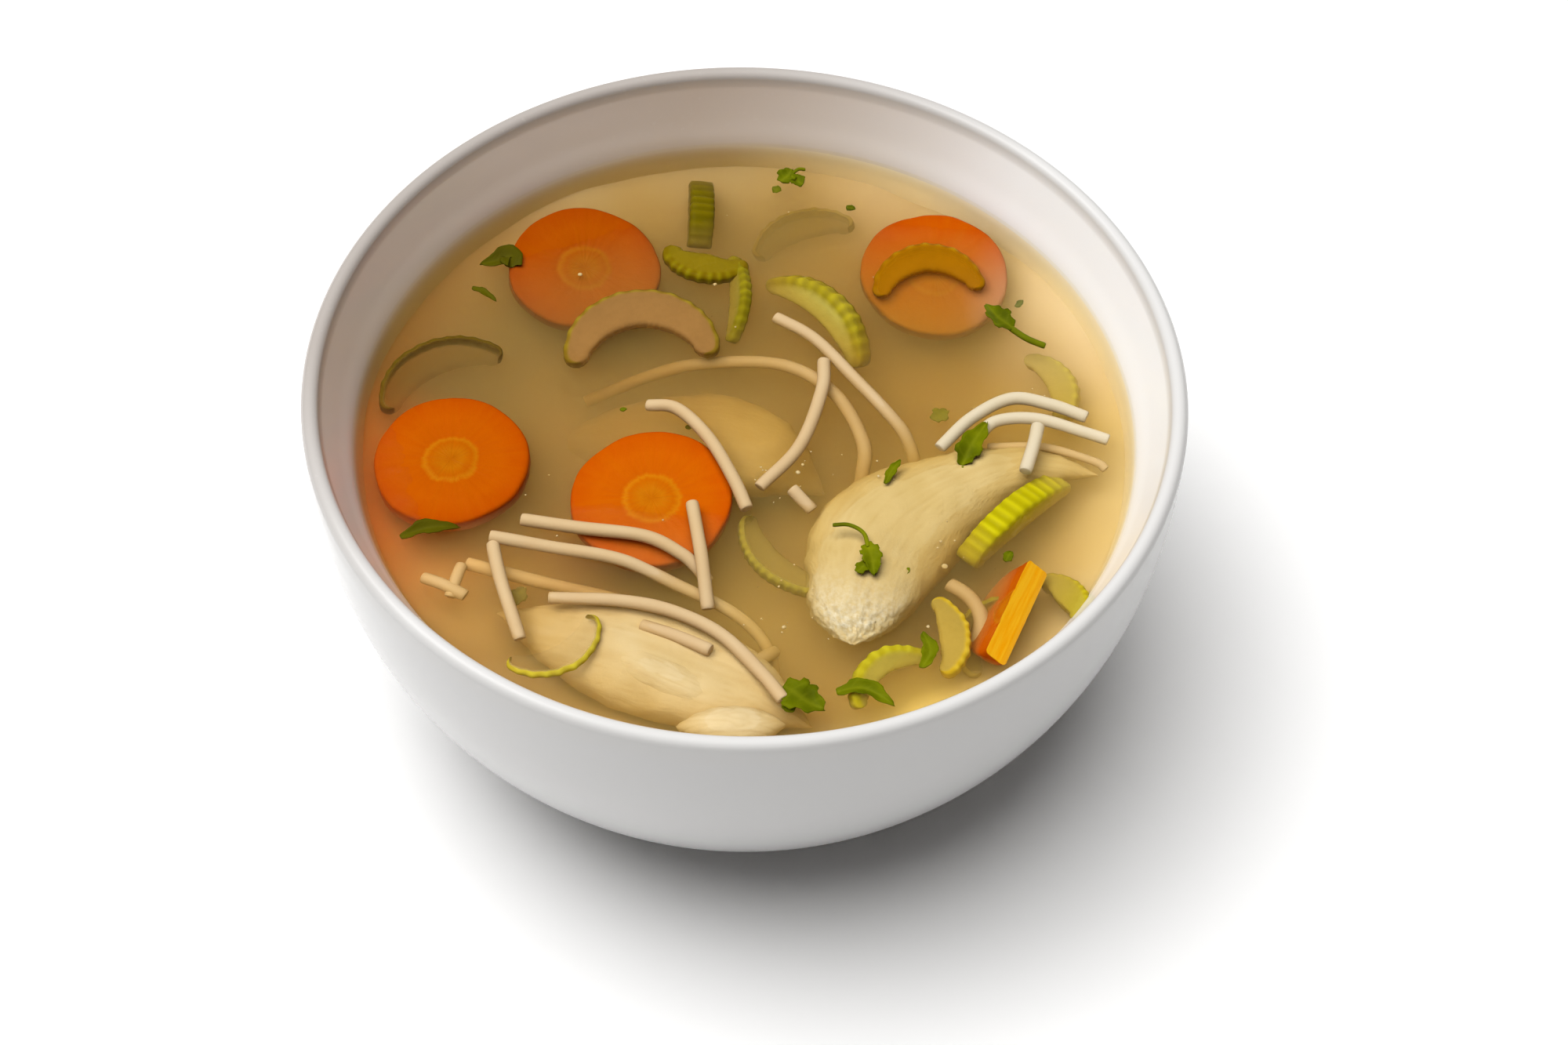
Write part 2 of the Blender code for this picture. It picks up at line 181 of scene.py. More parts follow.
# patches of broth colour, mostly painted light and shade: darker where the broth lies in shade on the left, lighter
# near the lit right wall, orange where the carrots' colour is reflected into it; centre and reach in mm, its colour
# there and how much of it
ZONES = [
    (-48, 17, 26, (100, 74, 26), 0.92),
    (-14, 9, 15, (120, 84, 36), 0.70),
    (-24, -14, 17, (188, 112, 50), 0.45),
    (-26, 4, 30, (152, 94, 38), 0.65),
    (-28, -25, 15, (214, 132, 74), 0.60),
    (-47, -26, 20, (255, 200, 112), 0.90),
    (-68, -14, 30, (255, 108, 0), 0.95),
    (24, 23, 27, (178, 126, 8), 0.80),
    (51, 7, 17, (226, 190, 80), 0.70),
    (33, -4, 15, (232, 190, 86), 0.60),
    (6, -30, 28, (236, 200, 106), 0.88),
    (31, -55, 17, (250, 216, 84), 0.90),
    (28, 62, 18, (208, 180, 146), 0.85),
    (64, 32, 26, (244, 228, 204), 0.80),
    (68, -8, 18, (214, 194, 140), 0.60),
    (-4, 62, 19, (126, 98, 56), 0.70),
]


def zones(n, tint):
    at = n.vec("MULTIPLY", n.position(), (1000.0, 1000.0, 0.0))
    for cx, cy, reach, colour, share in ZONES:
        far = n.vec("LENGTH", n.vec("SUBTRACT", at, (float(cx), float(cy), 0.0)))
        near = n.ramp(n.math("MULTIPLY", far, 1.0 / reach), [(0.2, share), (1.0, 0.0)])
        tint = n.mix(near, tint, seen(*colour))
    return tint


def under_broth(n, colour, fade=FADE, haze=HAZE):
    """colour as it shows at its depth under the broth's level; unchanged above it."""
    z = n.xyz(n.position())[2]
    depth = n.math("MAXIMUM", n.math("MULTIPLY_ADD", z, -1000.0, LEVEL), 0.0)
    parts = [n.math("POWER", math.exp(-k), depth) for k in fade]
    comb = n.new("ShaderNodeCombineXYZ")
    for s, p in zip(comb.inputs, parts):
        n.link(p, s)
    t = comb.outputs[0]
    cloud = n.noise(55.0, 2.0)
    tint = n.ramp(cloud, [(0.3, tuple(c * 0.90 for c in haze)), (0.7, tuple(min(1, c * 1.08) for c in haze))])
    x = n.xyz(n.position())[0]
    # painted light: the haze lighter and creamier towards the lit right side
    tint = n.mix(n.ramp(n.math("MULTIPLY_ADD", x, 7.0, 0.5), [(0.74, 0.0), (0.97, 1.0)]), tint, seen(216, 186, 112))
    # the patches of painted light and shade listed in ZONES
    tint = zones(n, tint)
    own = n.vec("MULTIPLY", colour, t)
    rest = n.vec("MULTIPLY", tint, n.vec("SUBTRACT", (1.0, 1.0, 1.0), t))
    return n.vec("ADD", own, rest), depth


# ------------------------------------------------------------------ mesh helpers
def piece(name, verts, faces, mats, nodes=(), matrix=None, smooth=True, attrs=None, face_mats=None):
    """A mesh of points in mm as a piece of the object."""
    mesh = bpy.data.meshes.new(name)
    mesh.from_pydata([(v[0] * MM, v[1] * MM, v[2] * MM) for v in verts], [], faces)
    for m in (mats if isinstance(mats, (list, tuple)) else [mats]):
        mesh.materials.append(m)
    if face_mats is not None:
        mesh.polygons.foreach_set("material_index", face_mats)
    for key, values in (attrs or {}).items():
        a = mesh.attributes.new(key, "FLOAT", "POINT")
        a.data.foreach_set("value", values)
    bm = bmesh.new()
    bm.from_mesh(mesh)
    bmesh.ops.recalc_face_normals(bm, faces=bm.faces)
    if bm.calc_volume(signed=True) < 0:
        bmesh.ops.reverse_faces(bm, faces=bm.faces)
    bm.to_mesh(mesh)
    bm.free()
    if smooth:
        mesh.shade_smooth()
    ob = bpy.data.objects.new(name, mesh)
    bpy.context.scene.collection.objects.link(ob)
    if matrix is not None:
        ob.matrix_world = matrix
    bpy.context.view_layer.update()
    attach(ob, "root")
    if nodes:
        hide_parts(*nodes)
    return ob


def catmull(knots, t):
    n = len(knots) - 1
    s = min(max(t, 0.0), 1.0) * n
    i = min(int(s), n - 1)
    f = s - i
    p1, p2 = knots[i], knots[i + 1]
    p0 = knots[i - 1] if i > 0 else [2 * a - b for a, b in zip(p1, p2)]
    p3 = knots[i + 2] if i + 2 <= n else [2 * a - b for a, b in zip(p2, p1)]
    return [0.5 * (2 * b + (c - a) * f + (2 * a - 5 * b + 4 * c - d) * f * f
                   + (3 * b - a - 3 * c + d) * f ** 3) for a, b, c, d in zip(p0, p1, p2, p3)]


def place_matrix(x, y, z, tilt=0.0, toward=0.0, turn=0.0):
    axis = Vector((-math.sin(math.radians(toward)), math.cos(math.radians(toward)), 0.0))
    return (Matrix.Translation((x * MM, y * MM, (LEVEL + z) * MM))
            @ Matrix.Rotation(math.radians(tilt), 4, axis) @ Matrix.Rotation(math.radians(turn), 4, "Z"))


def smoothstep(a, b, x):
    t = min(max((x - a) / (b - a), 0.0), 1.0)
    return t * t * (3 - 2 * t)


# ------------------------------------------------------------------ bowl
def outer_radius(depth):
    return RIM * (1.0 - (depth / 90.06) ** 2.45) ** (1.0 / 1.44)


INNER = [(2.0, 71.2), (8.0, 69.3), (13.0, 67.2), (18.0, 66.4), (24.0, 65.2), (32.0, 62.6),
         (41.0, 58.0), (50.0, 50.6), (57.0, 41.0), (61.0, 28.0), (62.7, 0.0)]


def lathe(profile, segments, closed_ends=True):
    """Faces of a profile of (radius, z) turned round Z; a radius of 0 is a single point."""
    verts, rings, faces = [], [], []
    for r, z in profile:
        if r < 1e-6:
            rings.append([len(verts)])
            verts.append((0.0, 0.0, z))
        else:
            rings.append(list(range(len(verts), len(verts) + segments)))
            verts += [(r * math.cos(math.tau * k / segments), r * math.sin(math.tau * k / segments), z)
                      for k in range(segments)]
    owner = []
    for i, (a, b) in enumerate(zip(rings, rings[1:])):
        for k in range(segments):
            k2 = (k + 1) % segments
            if len(a) == 1:
                faces.append((a[0], b[k], b[k2]))
            elif len(b) == 1:
                faces.append((a[k], b[0], a[k2]))
            else:
                faces.append((a[k], b[k], b[k2], a[k2]))
            owner.append(i)
    return verts, faces, owner


def glaze(name, wet):
    n = Nodes(name)
    speck = n.noise(900.0, 4.0)
    broad = n.noise(28.0, 2.0)
    inside = n.mix(n.math("MULTIPLY", broad, 0.6), (0.87, 0.875, 0.885), (0.84, 0.845, 0.852))
    at = n.xyz(n.position())
    back_left_shade = n.ramp(n.math("MULTIPLY", n.math("SUBTRACT", at[1], at[0]), 10.0), [(0.02, 0.0), (0.80, 1.0)])
    inside = n.mix(back_left_shade, inside, n.mix(1.0, inside, (0.735, 0.635, 0.550), "MULTIPLY"))     # painted shade: the inside wall darker and warmer towards the back-left, where it lies in shade and takes the broth's warm bounce light
    # painted shade: the back of the inside wall is darker
    back = n.ramp(n.math("MULTIPLY", at[1], 10.0), [(0.56, 0.0), (0.74, 1.0)])
    inside = n.mix(back, inside, n.mix(1.0, inside, (0.84, 0.79, 0.75), "MULTIPLY"))
    outside = n.mix(n.math("MULTIPLY", broad, 0.6), (0.590, 0.586, 0.584), (0.565, 0.560, 0.558))
    colour = n.mix(n.attr("outer"), inside, outside)      # painted shade: the outside is given a darker glaze colour than the inside
    # painted shade: the lip is darker than the glaze inside, and darker still towards the back-left
    colour = n.mix(n.attr("lip"), colour, n.mix(back_left_shade, (0.585, 0.578, 0.570), (0.38, 0.345, 0.32)))
    colour = n.mix(n.math("MULTIPLY", n.ramp(speck, [(0.62, 0.0), (0.78, 1.0)]), 0.12), colour, (0.70, 0.68, 0.65))
    rough = n.math("MULTIPLY_ADD", broad, 0.08, 0.13)
    if wet:
        colour, depth = under_broth(n, colour, WALL_FADE)
        thin = n.ramp(n.math("MULTIPLY_ADD", at[0], 10.0, n.math("MULTIPLY", at[1], 4.0)), [(0.22, 0.0), (0.55, 0.75)])
        colour = n.mix(thin, colour, (0.90, 0.84, 0.68))      # painted light: the wet wall lightened towards cream on the right, where the lit wall shows through the broth
    normal = n.bump(n.noise(60.0, 2.0), 0.04, 0.001)
    n.principled(colour, rough, normal)
    return n.mat


def foot_material():
    n = Nodes("bare_foot")
    grain = n.noise(1400.0, 5.0, 0.7)
    colour = n.ramp(grain, [(0.3, (0.62, 0.58, 0.53)), (0.7, (0.76, 0.73, 0.69))])
    n.principled(colour, 0.8, n.bump(grain, 0.3, 0.0002))
    return n.mat


def build_bowl():
    inner = [(r, HEIGHT - d) for d, r in reversed(INNER)]
    inner = [(0.0, 7.3), (14.0, 7.55)] + inner[1:-1] + [(71.75, 67.7)]
    pts = []
    count = 110
    for i in range(count + 1):
        pts.append(tuple(catmull(inner, i / count)))
    pts[0] = (0.0, 7.3)
    lip = [(73.5 + 1.5 * math.cos(math.radians(a)), 68.5 + 1.5 * math.sin(math.radians(a)))
           for a in range(165, -1, -11)]
    outside = [(outer_radius(d), HEIGHT - d) for d in [3.0 + 57.0 * k / 60 for k in range(61)]]
    under = [(outer_radius(60), 10.0), (50.6, 8.25), (47.0, 6.9), (43.4, 5.9), (40.4, 5.1), (38.5, 4.2),
             (37.7, 3.0), (37.35, 1.4), (37.1, 0.5)]
    low = [tuple(catmull(under, i / 26)) for i in range(1, 27)]
    foot = [(36.85, 0.12), (36.4, 0.0), (35.1, 0.0), (33.8, 0.0), (33.3, 0.12), (33.0, 0.5), (32.6, 1.4),
            (32.0, 2.0), (31.0, 2.2), (24.0, 2.2), (16.0, 2.2), (8.0, 2.2), (0.0, 2.2)]
    profile = pts + lip + outside + low + foot
    verts, faces, owner = lathe(profile, 256)
    n_in = len(pts)
    wet_until = max(i for i in range(n_in) if profile[i][1] < LEVEL + 0.2)
    bare_from = n_in + len(lip) + len(outside) + len(low) - 1
    mats = [1 if o < wet_until else (2 if bare_from <= o < bare_from + 6 else 0) for o in owner]
    outer, lips = [], []
    for i, (r, z) in enumerate(profile):
        share = smoothstep(n_in + 2, n_in + len(lip) + 1, i)
        outer += [share] * (1 if r < 1e-6 else 256)
        edge = smoothstep(n_in - 2, n_in + 1, i) * smoothstep(n_in + len(lip) + 4, n_in + len(lip), i)
        lips += [edge] * (1 if r < 1e-6 else 256)
    piece("bowl_glazed", verts, faces, [glaze("white_glaze", False), glaze("white_glaze_wet", True), foot_material()],
          ("bowl",), face_mats=mats, attrs={"outer": outer, "lip": lips})


# ------------------------------------------------------------------ carrots
CARROTS = {
    "carrot_slice_1": (-29.0, 37.2, -0.9, 9.5, 292, 13.3, 0.4),
    "carrot_slice_2": (33.4, 37.6, -1.55, 9.0, 265, 13.2, 1.9),
    "carrot_slice_3": (-50.0, -7.7, 0.35, 2.2, 200, 13.5, 3.1),
    "carrot_slice_4": (-15.6, -15.4, 0.3, 6.0, 265, 13.7, 4.6),
}
TONE = {"carrot_slice_1": 0.68, "carrot_slice_2": 0.93, "carrot_slice_3": 0.86}     # some slices are given a darker base colour
HALF_CARROT = (44.0, -37.8, 1.9, 55.0, 158.0, -22.0, 10.2, 2.6)


def carrot_material(radius, seed, half=False, tone=1.0, fade=CARROT_FADE):
    n = Nodes("carrot_%d" % int(seed * 10))
    p = n.xyz(n.local())
    flat = n.new("ShaderNodeCombineXYZ")
    n.link(p[0], flat.inputs[0])
    n.link(p[1], flat.inputs[1])
    flat.inputs[2].default_value = seed
    r = n.vec("LENGTH", n.vec("MULTIPLY", flat.outputs[0], (1000.0 / radius, 1000.0 / radius, 0.0)))
    angle = n.math("ARCTAN2", p[1], p[0])
    ray_at = n.new("ShaderNodeCombineXYZ")
    n.link(n.math("MULTIPLY", n.math("COSINE", angle), 7.0), ray_at.inputs[0])
    n.link(n.math("MULTIPLY", n.math("SINE", angle), 7.0), ray_at.inputs[1])
    n.link(n.math("MULTIPLY_ADD", r, 1.1, seed), ray_at.inputs[2])
    rays = n.noise(1.0, 3.0, 0.6, ray_at.outputs[0])
    soft = n.noise(330.0, 3.0, 0.6, flat.outputs[0])
    rr = n.math("ADD", r, n.math("MULTIPLY_ADD", soft, 0.10, -0.05))
    rr = n.math("ADD", rr, n.math("MULTIPLY_ADD", rays, 0.10, -0.05))
    cortex, deep, core = seen(222, 102, 1), seen(206, 84, 0), seen(216, 124, 8)
    colour = n.ramp(rr, [(0.00, seen(208, 112, 4)), (0.14, core), (0.27, seen(214, 108, 2)),
                         (0.330, seen(224, 132, 12)), (0.385, seen(218, 100, 1)), (0.66, cortex),
                         (0.90, seen(216, 92, 0)), (1.00, deep)])
    colour = n.mix(n.math("MULTIPLY", n.ramp(rays, [(0.42, 0.0), (0.70, 1.0)]), 0.22), colour, seen(228, 120, 2))
    colour = n.mix(n.math("MULTIPLY", n.ramp(soft, [(0.50, 0.0), (0.80, 1.0)]), 0.25), colour, deep)
    if half:
        streak = n.new("ShaderNodeCombineXYZ")
        n.link(n.math("MULTIPLY", p[1], 90.0), streak.inputs[1])
        n.link(n.math("MULTIPLY", p[2], 1500.0), streak.inputs[2])
        lines = n.noise(1.0, 3.0, 0.6, streak.outputs[0])
        cut = n.ramp(lines, [(0.35, seen(252, 170, 4)), (0.60, seen(255, 190, 30))])
        colour = n.mix(n.ramp(n.math("MULTIPLY_ADD", p[0], 1000.0, 1.0), [(0.75, 0.0), (0.92, 1.0)]), colour, cut)
    if tone < 1.0:
        colour = n.mix(1.0, colour, (tone, tone * 0.97, tone), "MULTIPLY")
    colour, depth = under_broth(n, colour, fade)
    normal = n.bump(n.math("ADD", n.math("MULTIPLY", rays, 0.6), n.noise(1500.0, 3.0)), 0.16, 0.0004)
    rough = n.math("MULTIPLY_ADD", soft, 0.16, 0.22)
    n.principled(colour, rough, normal, Specular_IOR_Level=0.02)
    return n.mat


def carrot_radius(a, radius, seed):
    return radius * (1.0 + 0.018 * math.cos(2 * a + seed) + 0.010 * math.cos(3 * a + 2.1 * seed)
                     + 0.006 * math.cos(7 * a + 1.3 * seed))


def build_carrot(name, row, thick=3.8, half=False, turn=0.0):
    x, y, z, tilt, toward, radius, seed = row
    segs = 168
    top = [i / 26 for i in range(27)]
    profile = []                                     # share of the radius, height, kind
    edge = 0.62
    for f in top:
        profile.append((f * (1 - edge / radius), 0.0, 1.0))
    for a in (30, 60, 90):
        c, s = math.sin(math.radians(a)), math.cos(math.radians(a))
        profile.append((1 - edge / radius * (1 - c), -edge * (1 - s), 0.5))
    for k in range(1, 7):
        profile.append((1.0, -edge - (thick - 2 * edge) * k / 6, 0.0))
    for a in (60, 30, 0):
        c, s = math.sin(math.radians(a)), math.cos(math.radians(a))
        profile.append((1 - edge / radius * (1 - c), -thick + edge * (1 - s), 0.0))
    for f in (0.8, 0.6, 0.4, 0.2, 0.0):
        profile.append((f * (1 - edge / radius), -thick, 0.0))
    verts, rings, faces = [], [], []
    for f, h, kind in profile:
        if f < 1e-6:
            lift = 0.0
            rings.append([len(verts)])
            verts.append((0.0, 0.0, h + lift))
            continue
        ring = []
        for k in range(segs):
            a = math.tau * k / segs
            r = carrot_radius(a, radius, seed) * f
            px, py = r * math.cos(a), r * math.sin(a)
            dz = dr = 0.0
            if kind > 0:
                groove = -0.10 * math.exp(-((f - 0.36) / 0.03) ** 2) + 0.10 * math.exp(-((f - 0.22) / 0.10) ** 2)
                dz = (groove + 0.14 * noise(Vector((px * 0.20, py * 0.20, seed)))
                      + 0.05 * noise(Vector((math.cos(a) * 9, math.sin(a) * 9, f * 1.2 + seed)))
                      + 0.03 * noise(Vector((px * 1.6, py * 1.6, seed)))) * (kind if f < 1 else 0.5)
            if f > 0.93:
                dr = 0.10 * noise(Vector((math.cos(a) * 5, math.sin(a) * 5, h * 0.9 + seed)))
            ring.append(len(verts))
            verts.append((px + dr * math.cos(a), py + dr * math.sin(a), h + dz))
        rings.append(ring)
    for a, b in zip(rings, rings[1:]):
        for k in range(segs):
            k2 = (k + 1) % segs
            if len(a) == 1:
                faces.append((a[0], b[k], b[k2]))
            elif len(b) == 1:
                faces.append((a[k], b[0], a[k2]))
            else:
                faces.append((a[k], b[k], b[k2], a[k2]))
    ob = piece(name + "_cut", verts, faces, carrot_material(radius, seed, half, TONE.get(name, 1.0),
                                                  (0.34, 0.38, 0.46) if name == "carrot_slice_2" else CARROT_FADE), (name,),
               place_matrix(x, y, z, tilt, toward, turn))
    if half:
        bm = bmesh.new()
        bm.from_mesh(ob.data)
        bmesh.ops.bisect_plane(bm, geom=bm.verts[:] + bm.edges[:] + bm.faces[:], plane_co=(0, 0, 0),
                               plane_no=(1, 0, 0), clear_outer=True, dist=1e-7)
        edges = [e for e in bm.edges if e.is_boundary]
        bmesh.ops.edgeloop_fill(bm, edges=edges)
        bm.to_mesh(ob.data)
        bm.free()
        ob.data.shade_smooth()
        ob.data.set_sharp_from_angle(angle=math.radians(50))
    return ob


# ------------------------------------------------------------------ celery
CELERY = {
    "celery_slice_1": (-18.9, 24.3, 0.6, 3.0, 250, 6, 13.6, 88, 7.6, 13, 2.6),
    "celery_slice_2": (31.8, 37.4, 1.15, 8.2, 265, 6, 10.0, 82, 5.6, 10, 1.9),
    "celery_slice_3": (-7.6, 39.0, 0.2, 8.0, 70, 166, 9.2, 54, 5.2, 9, 2.4),
    "celery_slice_4": (11.2, 26.2, -4.0, 50.0, 220, -50, 15.6, 52, 6.0, 11, 3.6),
    "celery_slice_5": (-3.2, 26.8, -4.9, 52.0, 180, -90, 14.6, 27, 4.2, 8, 2.2),
    "celery_slice_6": (-53.6, 12.6, -0.55, 5.0, 310, 34, 13.4, 62, 6.6, 11, 3.2),
    "celery_slice_7": (48.0, -18.4, -8.9, 84.0, 316, 46, 20.0, 35, 6.0, 12, 4.6),
    "celery_slice_8": (-30.0, -46.8, 0.45, 4.0, 140, 215, 9.4, 66, 5.4, 9, 1.6),
    "celery_slice_9": (24.6, -51.0, -0.4, 28.0, 320, 40, 9.4, 62, 4.2, 9, 2.6),
    "celery_slice_10": (-11.6, 51.6, -5.2, 82.0, 180, -90, 12.0, 38, 4.5, 8, 3.2),
    "celery_slice_11": (32.6, -42.9, 0.1, 8.0, 190, -85, 10.0, 48, 5.0, 9, 2.6),
}


def celery_material(name, flesh, skin, groove, solid):
    """Wet celery: clear flesh, solid by the share given, with a thin ribbed skin."""
    n = Nodes(name)
    flesh, skin, groove = seen(*flesh), seen(*skin), seen(*groove)
    rim = n.attr("rim")            # 1 on the ribbed skin, 0 in the flesh
    rib = n.attr("rib")            # 1 on a rib, 0 between ribs
    fine = n.noise(900.0, 4.0, 0.6)
    broad = n.noise(160.0, 3.0, 0.5)
    inner = n.mix(broad, tuple(c * 0.90 for c in flesh), tuple(c * 1.12 for c in flesh))
    inner = n.mix(n.math("MULTIPLY", n.ramp(fine, [(0.45, 0.0), (0.75, 1.0)]), 0.25), inner, tuple(c * 0.78 for c in flesh))
    # between the ribs the skin is darker: partly its own colour, partly painted shade in the grooves
    outer = n.mix(rib, groove, skin)
    outer = n.mix(n.math("MULTIPLY", broad, 0.30), outer, flesh)
    where = n.math("MULTIPLY_ADD", fine, 0.12, n.math("SUBTRACT", rim, 0.06))
    mask = n.ramp(where, [(0.26, 0.0), (0.60, 1.0)], "EASE")
    colour = n.mix(mask, inner, outer)
    colour, depth = under_broth(n, colour)
    normal = n.bump(n.math("ADD", fine, n.noise(2600.0, 2.0)), 0.20, 0.0003)
    shader = n.principled(colour, n.math("MULTIPLY_ADD", broad, 0.15, 0.20), normal, Specular_IOR_Level=0.04)
    if solid < 1.0:
        n.link(n.math("MULTIPLY_ADD", mask, 0.95 - solid, solid), shader.inputs["Alpha"])
    return n.mat


def celery_shape(radius, spread, wall, count, slice_, seed, skin=0.75):
    """Points, faces and skin values of one slice, top face at z 0, back towards +Y."""
    nt, ns = 132, 14
    half = math.radians(spread)
    end_w = wall * (1.0 - 0.42) / 2.0
    mid_r = radius - end_w
    cap = end_w / mid_r
    grid = []                                            # (x, y, s, rib) per t, s
    for i in range(nt + 1):
        q = i / nt
        a = (-half - cap) + (2 * half + 2 * cap) * (0.5 - 0.5 * math.cos(math.pi * q)) * 0.35 \
            + (2 * half + 2 * cap) * q * 0.65
        t = a / half
        if abs(t) <= 1.0:
            w = wall * (1.0 - 0.42 * abs(t) ** 2.4)
            mid = radius - w / 2.0
        else:
            u = min((abs(a) - half) / cap, 0.995)
            w = 2 * end_w * math.sqrt(1 - u * u)
            mid = mid_r
        tt = max(-1.0, min(1.0, t))
        phase = count * tt + 0.55 * noise(Vector((tt * 2.3, seed, 7.0)))
        strength = 0.65 + 0.5 * noise(Vector((round(phase / 2.0) * 1.7, seed, 9.0)))
        rib = (0.5 + 0.5 * math.cos(math.pi * phase)) ** 1.3 * (1 - 0.45 * tt * tt) * strength
        wob = 0.12 * noise(Vector((a * 6.0, seed, 0.3)))
        row = []
        for j in range(ns + 1):
            s = j / ns
            edge = max(0.0, 1 - s * 3.2)
            r = mid + w / 2.0 - w * s + 0.30 * rib * edge + wob
            r += 0.10 * noise(Vector((a * 22.0, seed + 4.0, 0.0))) * max(0.0, s * 3 - 2)
            row.append((r * math.sin(a), r * math.cos(a), s, rib, w))
        grid.append(row)
    verts, faces, rim, ribs = [], [], [], []

    def add(p, z):
        verts.append((p[0], p[1] - radius * 0.5, z))
        rim.append(math.exp(-p[2] * p[4] / skin))
        ribs.append(p[3])
        return len(verts) - 1

    def relief(p, top):
        x, y, s, rib, w = p
        inset = min(s, 1 - s) * w
        z = -0.34 * math.exp(-(inset / 0.34) ** 1.3)                      # softened edges
        z += 0.13 * rib * math.exp(-((s * w - 0.95) / 0.40) ** 2)         # the strings' ends
        z += 0.10 * noise(Vector((x * 0.5, y * 0.5, seed))) + 0.035 * noise(Vector((x * 2.2, y * 2.2, seed)))
        return z if top else -z

    upper = [[add(p, relief(p, True)) for p in row] for row in grid]
    lower = [[add(p, -slice_ + relief(p, False)) for p in row] for row in grid]
    for i in range(nt):
        for j in range(ns):
            faces.append((upper[i][j], upper[i][j + 1], upper[i + 1][j + 1], upper[i + 1][j]))
            faces.append((lower[i][j], lower[i + 1][j], lower[i + 1][j + 1], lower[i][j + 1]))
    border = [(i, 0) for i in range(nt + 1)] + [(nt, j) for j in range(1, ns + 1)] \
        + [(i, ns) for i in range(nt - 1, -1, -1)] + [(0, j) for j in range(ns - 1, 0, -1)]
    steps = 4
    prev = [upper[i][j] for i, j in border]
    for k in range(1, steps + 1):
        if k == steps:
            cur = [lower[i][j] for i, j in border]
        else:
            cur = []
            for i, j in border:
                p = grid[i][j]
                f = k / steps
                x, y, s, rib, w = p
                push = 0.10 * math.sin(math.pi * f)
                r = math.hypot(x, y)
                sgn = 1 if j == 0 else (-1 if j == ns else 0)
                x2, y2 = x * (1 + sgn * push / r), y * (1 + sgn * push / r)
                cur.append(add((x2, y2, s, rib, w), -0.30 - (slice_ - 0.60) * f))
        m = len(border)
        for q in range(m):
            q2 = (q + 1) % m
            faces.append((prev[q], prev[q2], cur[q2], cur[q]))
        prev = cur
    return verts, faces, rim, ribs


SKIN = {"celery_slice_4": 2.0, "celery_slice_5": 1.4, "celery_slice_3": 1.3, "celery_slice_9": 1.5, "celery_slice_8": 0.7}


def build_celery(name, row, mat, seed):
    x, y, z, lean, toward, turn, radius, spread, wall, count, slice_ = row
    verts, faces, rim, ribs = celery_shape(radius, spread, wall, count, slice_, seed, SKIN.get(name, 0.85))
    return piece(name + "_cut", verts, faces, mat, (name,) if name in CELERY else (),
                 place_matrix(x, y, z, lean, toward, turn), attrs={"rim": rim, "rib": ribs})


# ------------------------------------------------------------------ chicken
CHICKEN = {
    "chicken_piece_1": ([(18.2, -44.4, 2.6, 7.6, 9.0), (19.6, -34.0, 2.9, 9.6, 13.0),
                         (24.5, -20.0, 1.2, 12.4, 15.0), (36.0, -10.6, 0.8, 8.6, 13.0),
                         (46.4, -6.0, 0.2, 5.0, 9.0), (54.0, -5.4, -0.5, 3.6, 7.0),
                         (61.0, -6.6, -1.3, 1.8, 5.0)], 0.55, 3.0),
    "chicken_piece_2": ([(-26.0, -44.5, -2.2, 3.0, 7.0), (-18.0, -48.0, -0.05, 4.5, 10.0),
                         (-8.0, -53.0, 0.10, 4.5, 10.0), (2.0, -57.0, -1.6, 3.0, 7.0)], 0.2, 7.0),
    "chicken_piece_3": ([(-10.5, -60.6, 0.3, 2.6, 7.0), (-1.0, -60.6, 0.8, 3.8, 8.0),
                         (7.6, -60.0, 0.2, 2.4, 6.0)], 0.2, 11.0),
}


def chicken_material(name, dark, mid, pale):
    n = Nodes(name)
    fibre = n.attr("fibre")
    torn = n.attr("torn")
    broad = n.noise(90.0, 3.0, 0.5)
    fine = n.noise(1300.0, 4.0, 0.65)
    colour = n.ramp(broad, [(0.25, seen(*dark)), (0.55, seen(*mid)), (0.80, seen(*pale))])
    # painted shade: darker along the fibre grooves, which the mesh presses in
    colour = n.mix(n.math("MULTIPLY", fibre, 0.35), colour, seen(dark[0] - 14, dark[1] - 20, dark[2] - 24))
    colour = n.mix(n.math("MULTIPLY", torn, n.ramp(fine, [(0.35, 0.3), (0.65, 1.0)])), colour, seen(255, 244, 212))
    colour, depth = under_broth(n, colour, MEAT_FADE)
    normal = n.bump(n.math("ADD", fine, n.math("MULTIPLY", fibre, 0.7)), 0.30, 0.0004)
    n.principled(colour, n.math("MULTIPLY_ADD", fine, 0.2, 0.38), normal, Specular_IOR_Level=0.05)
    return n.mat


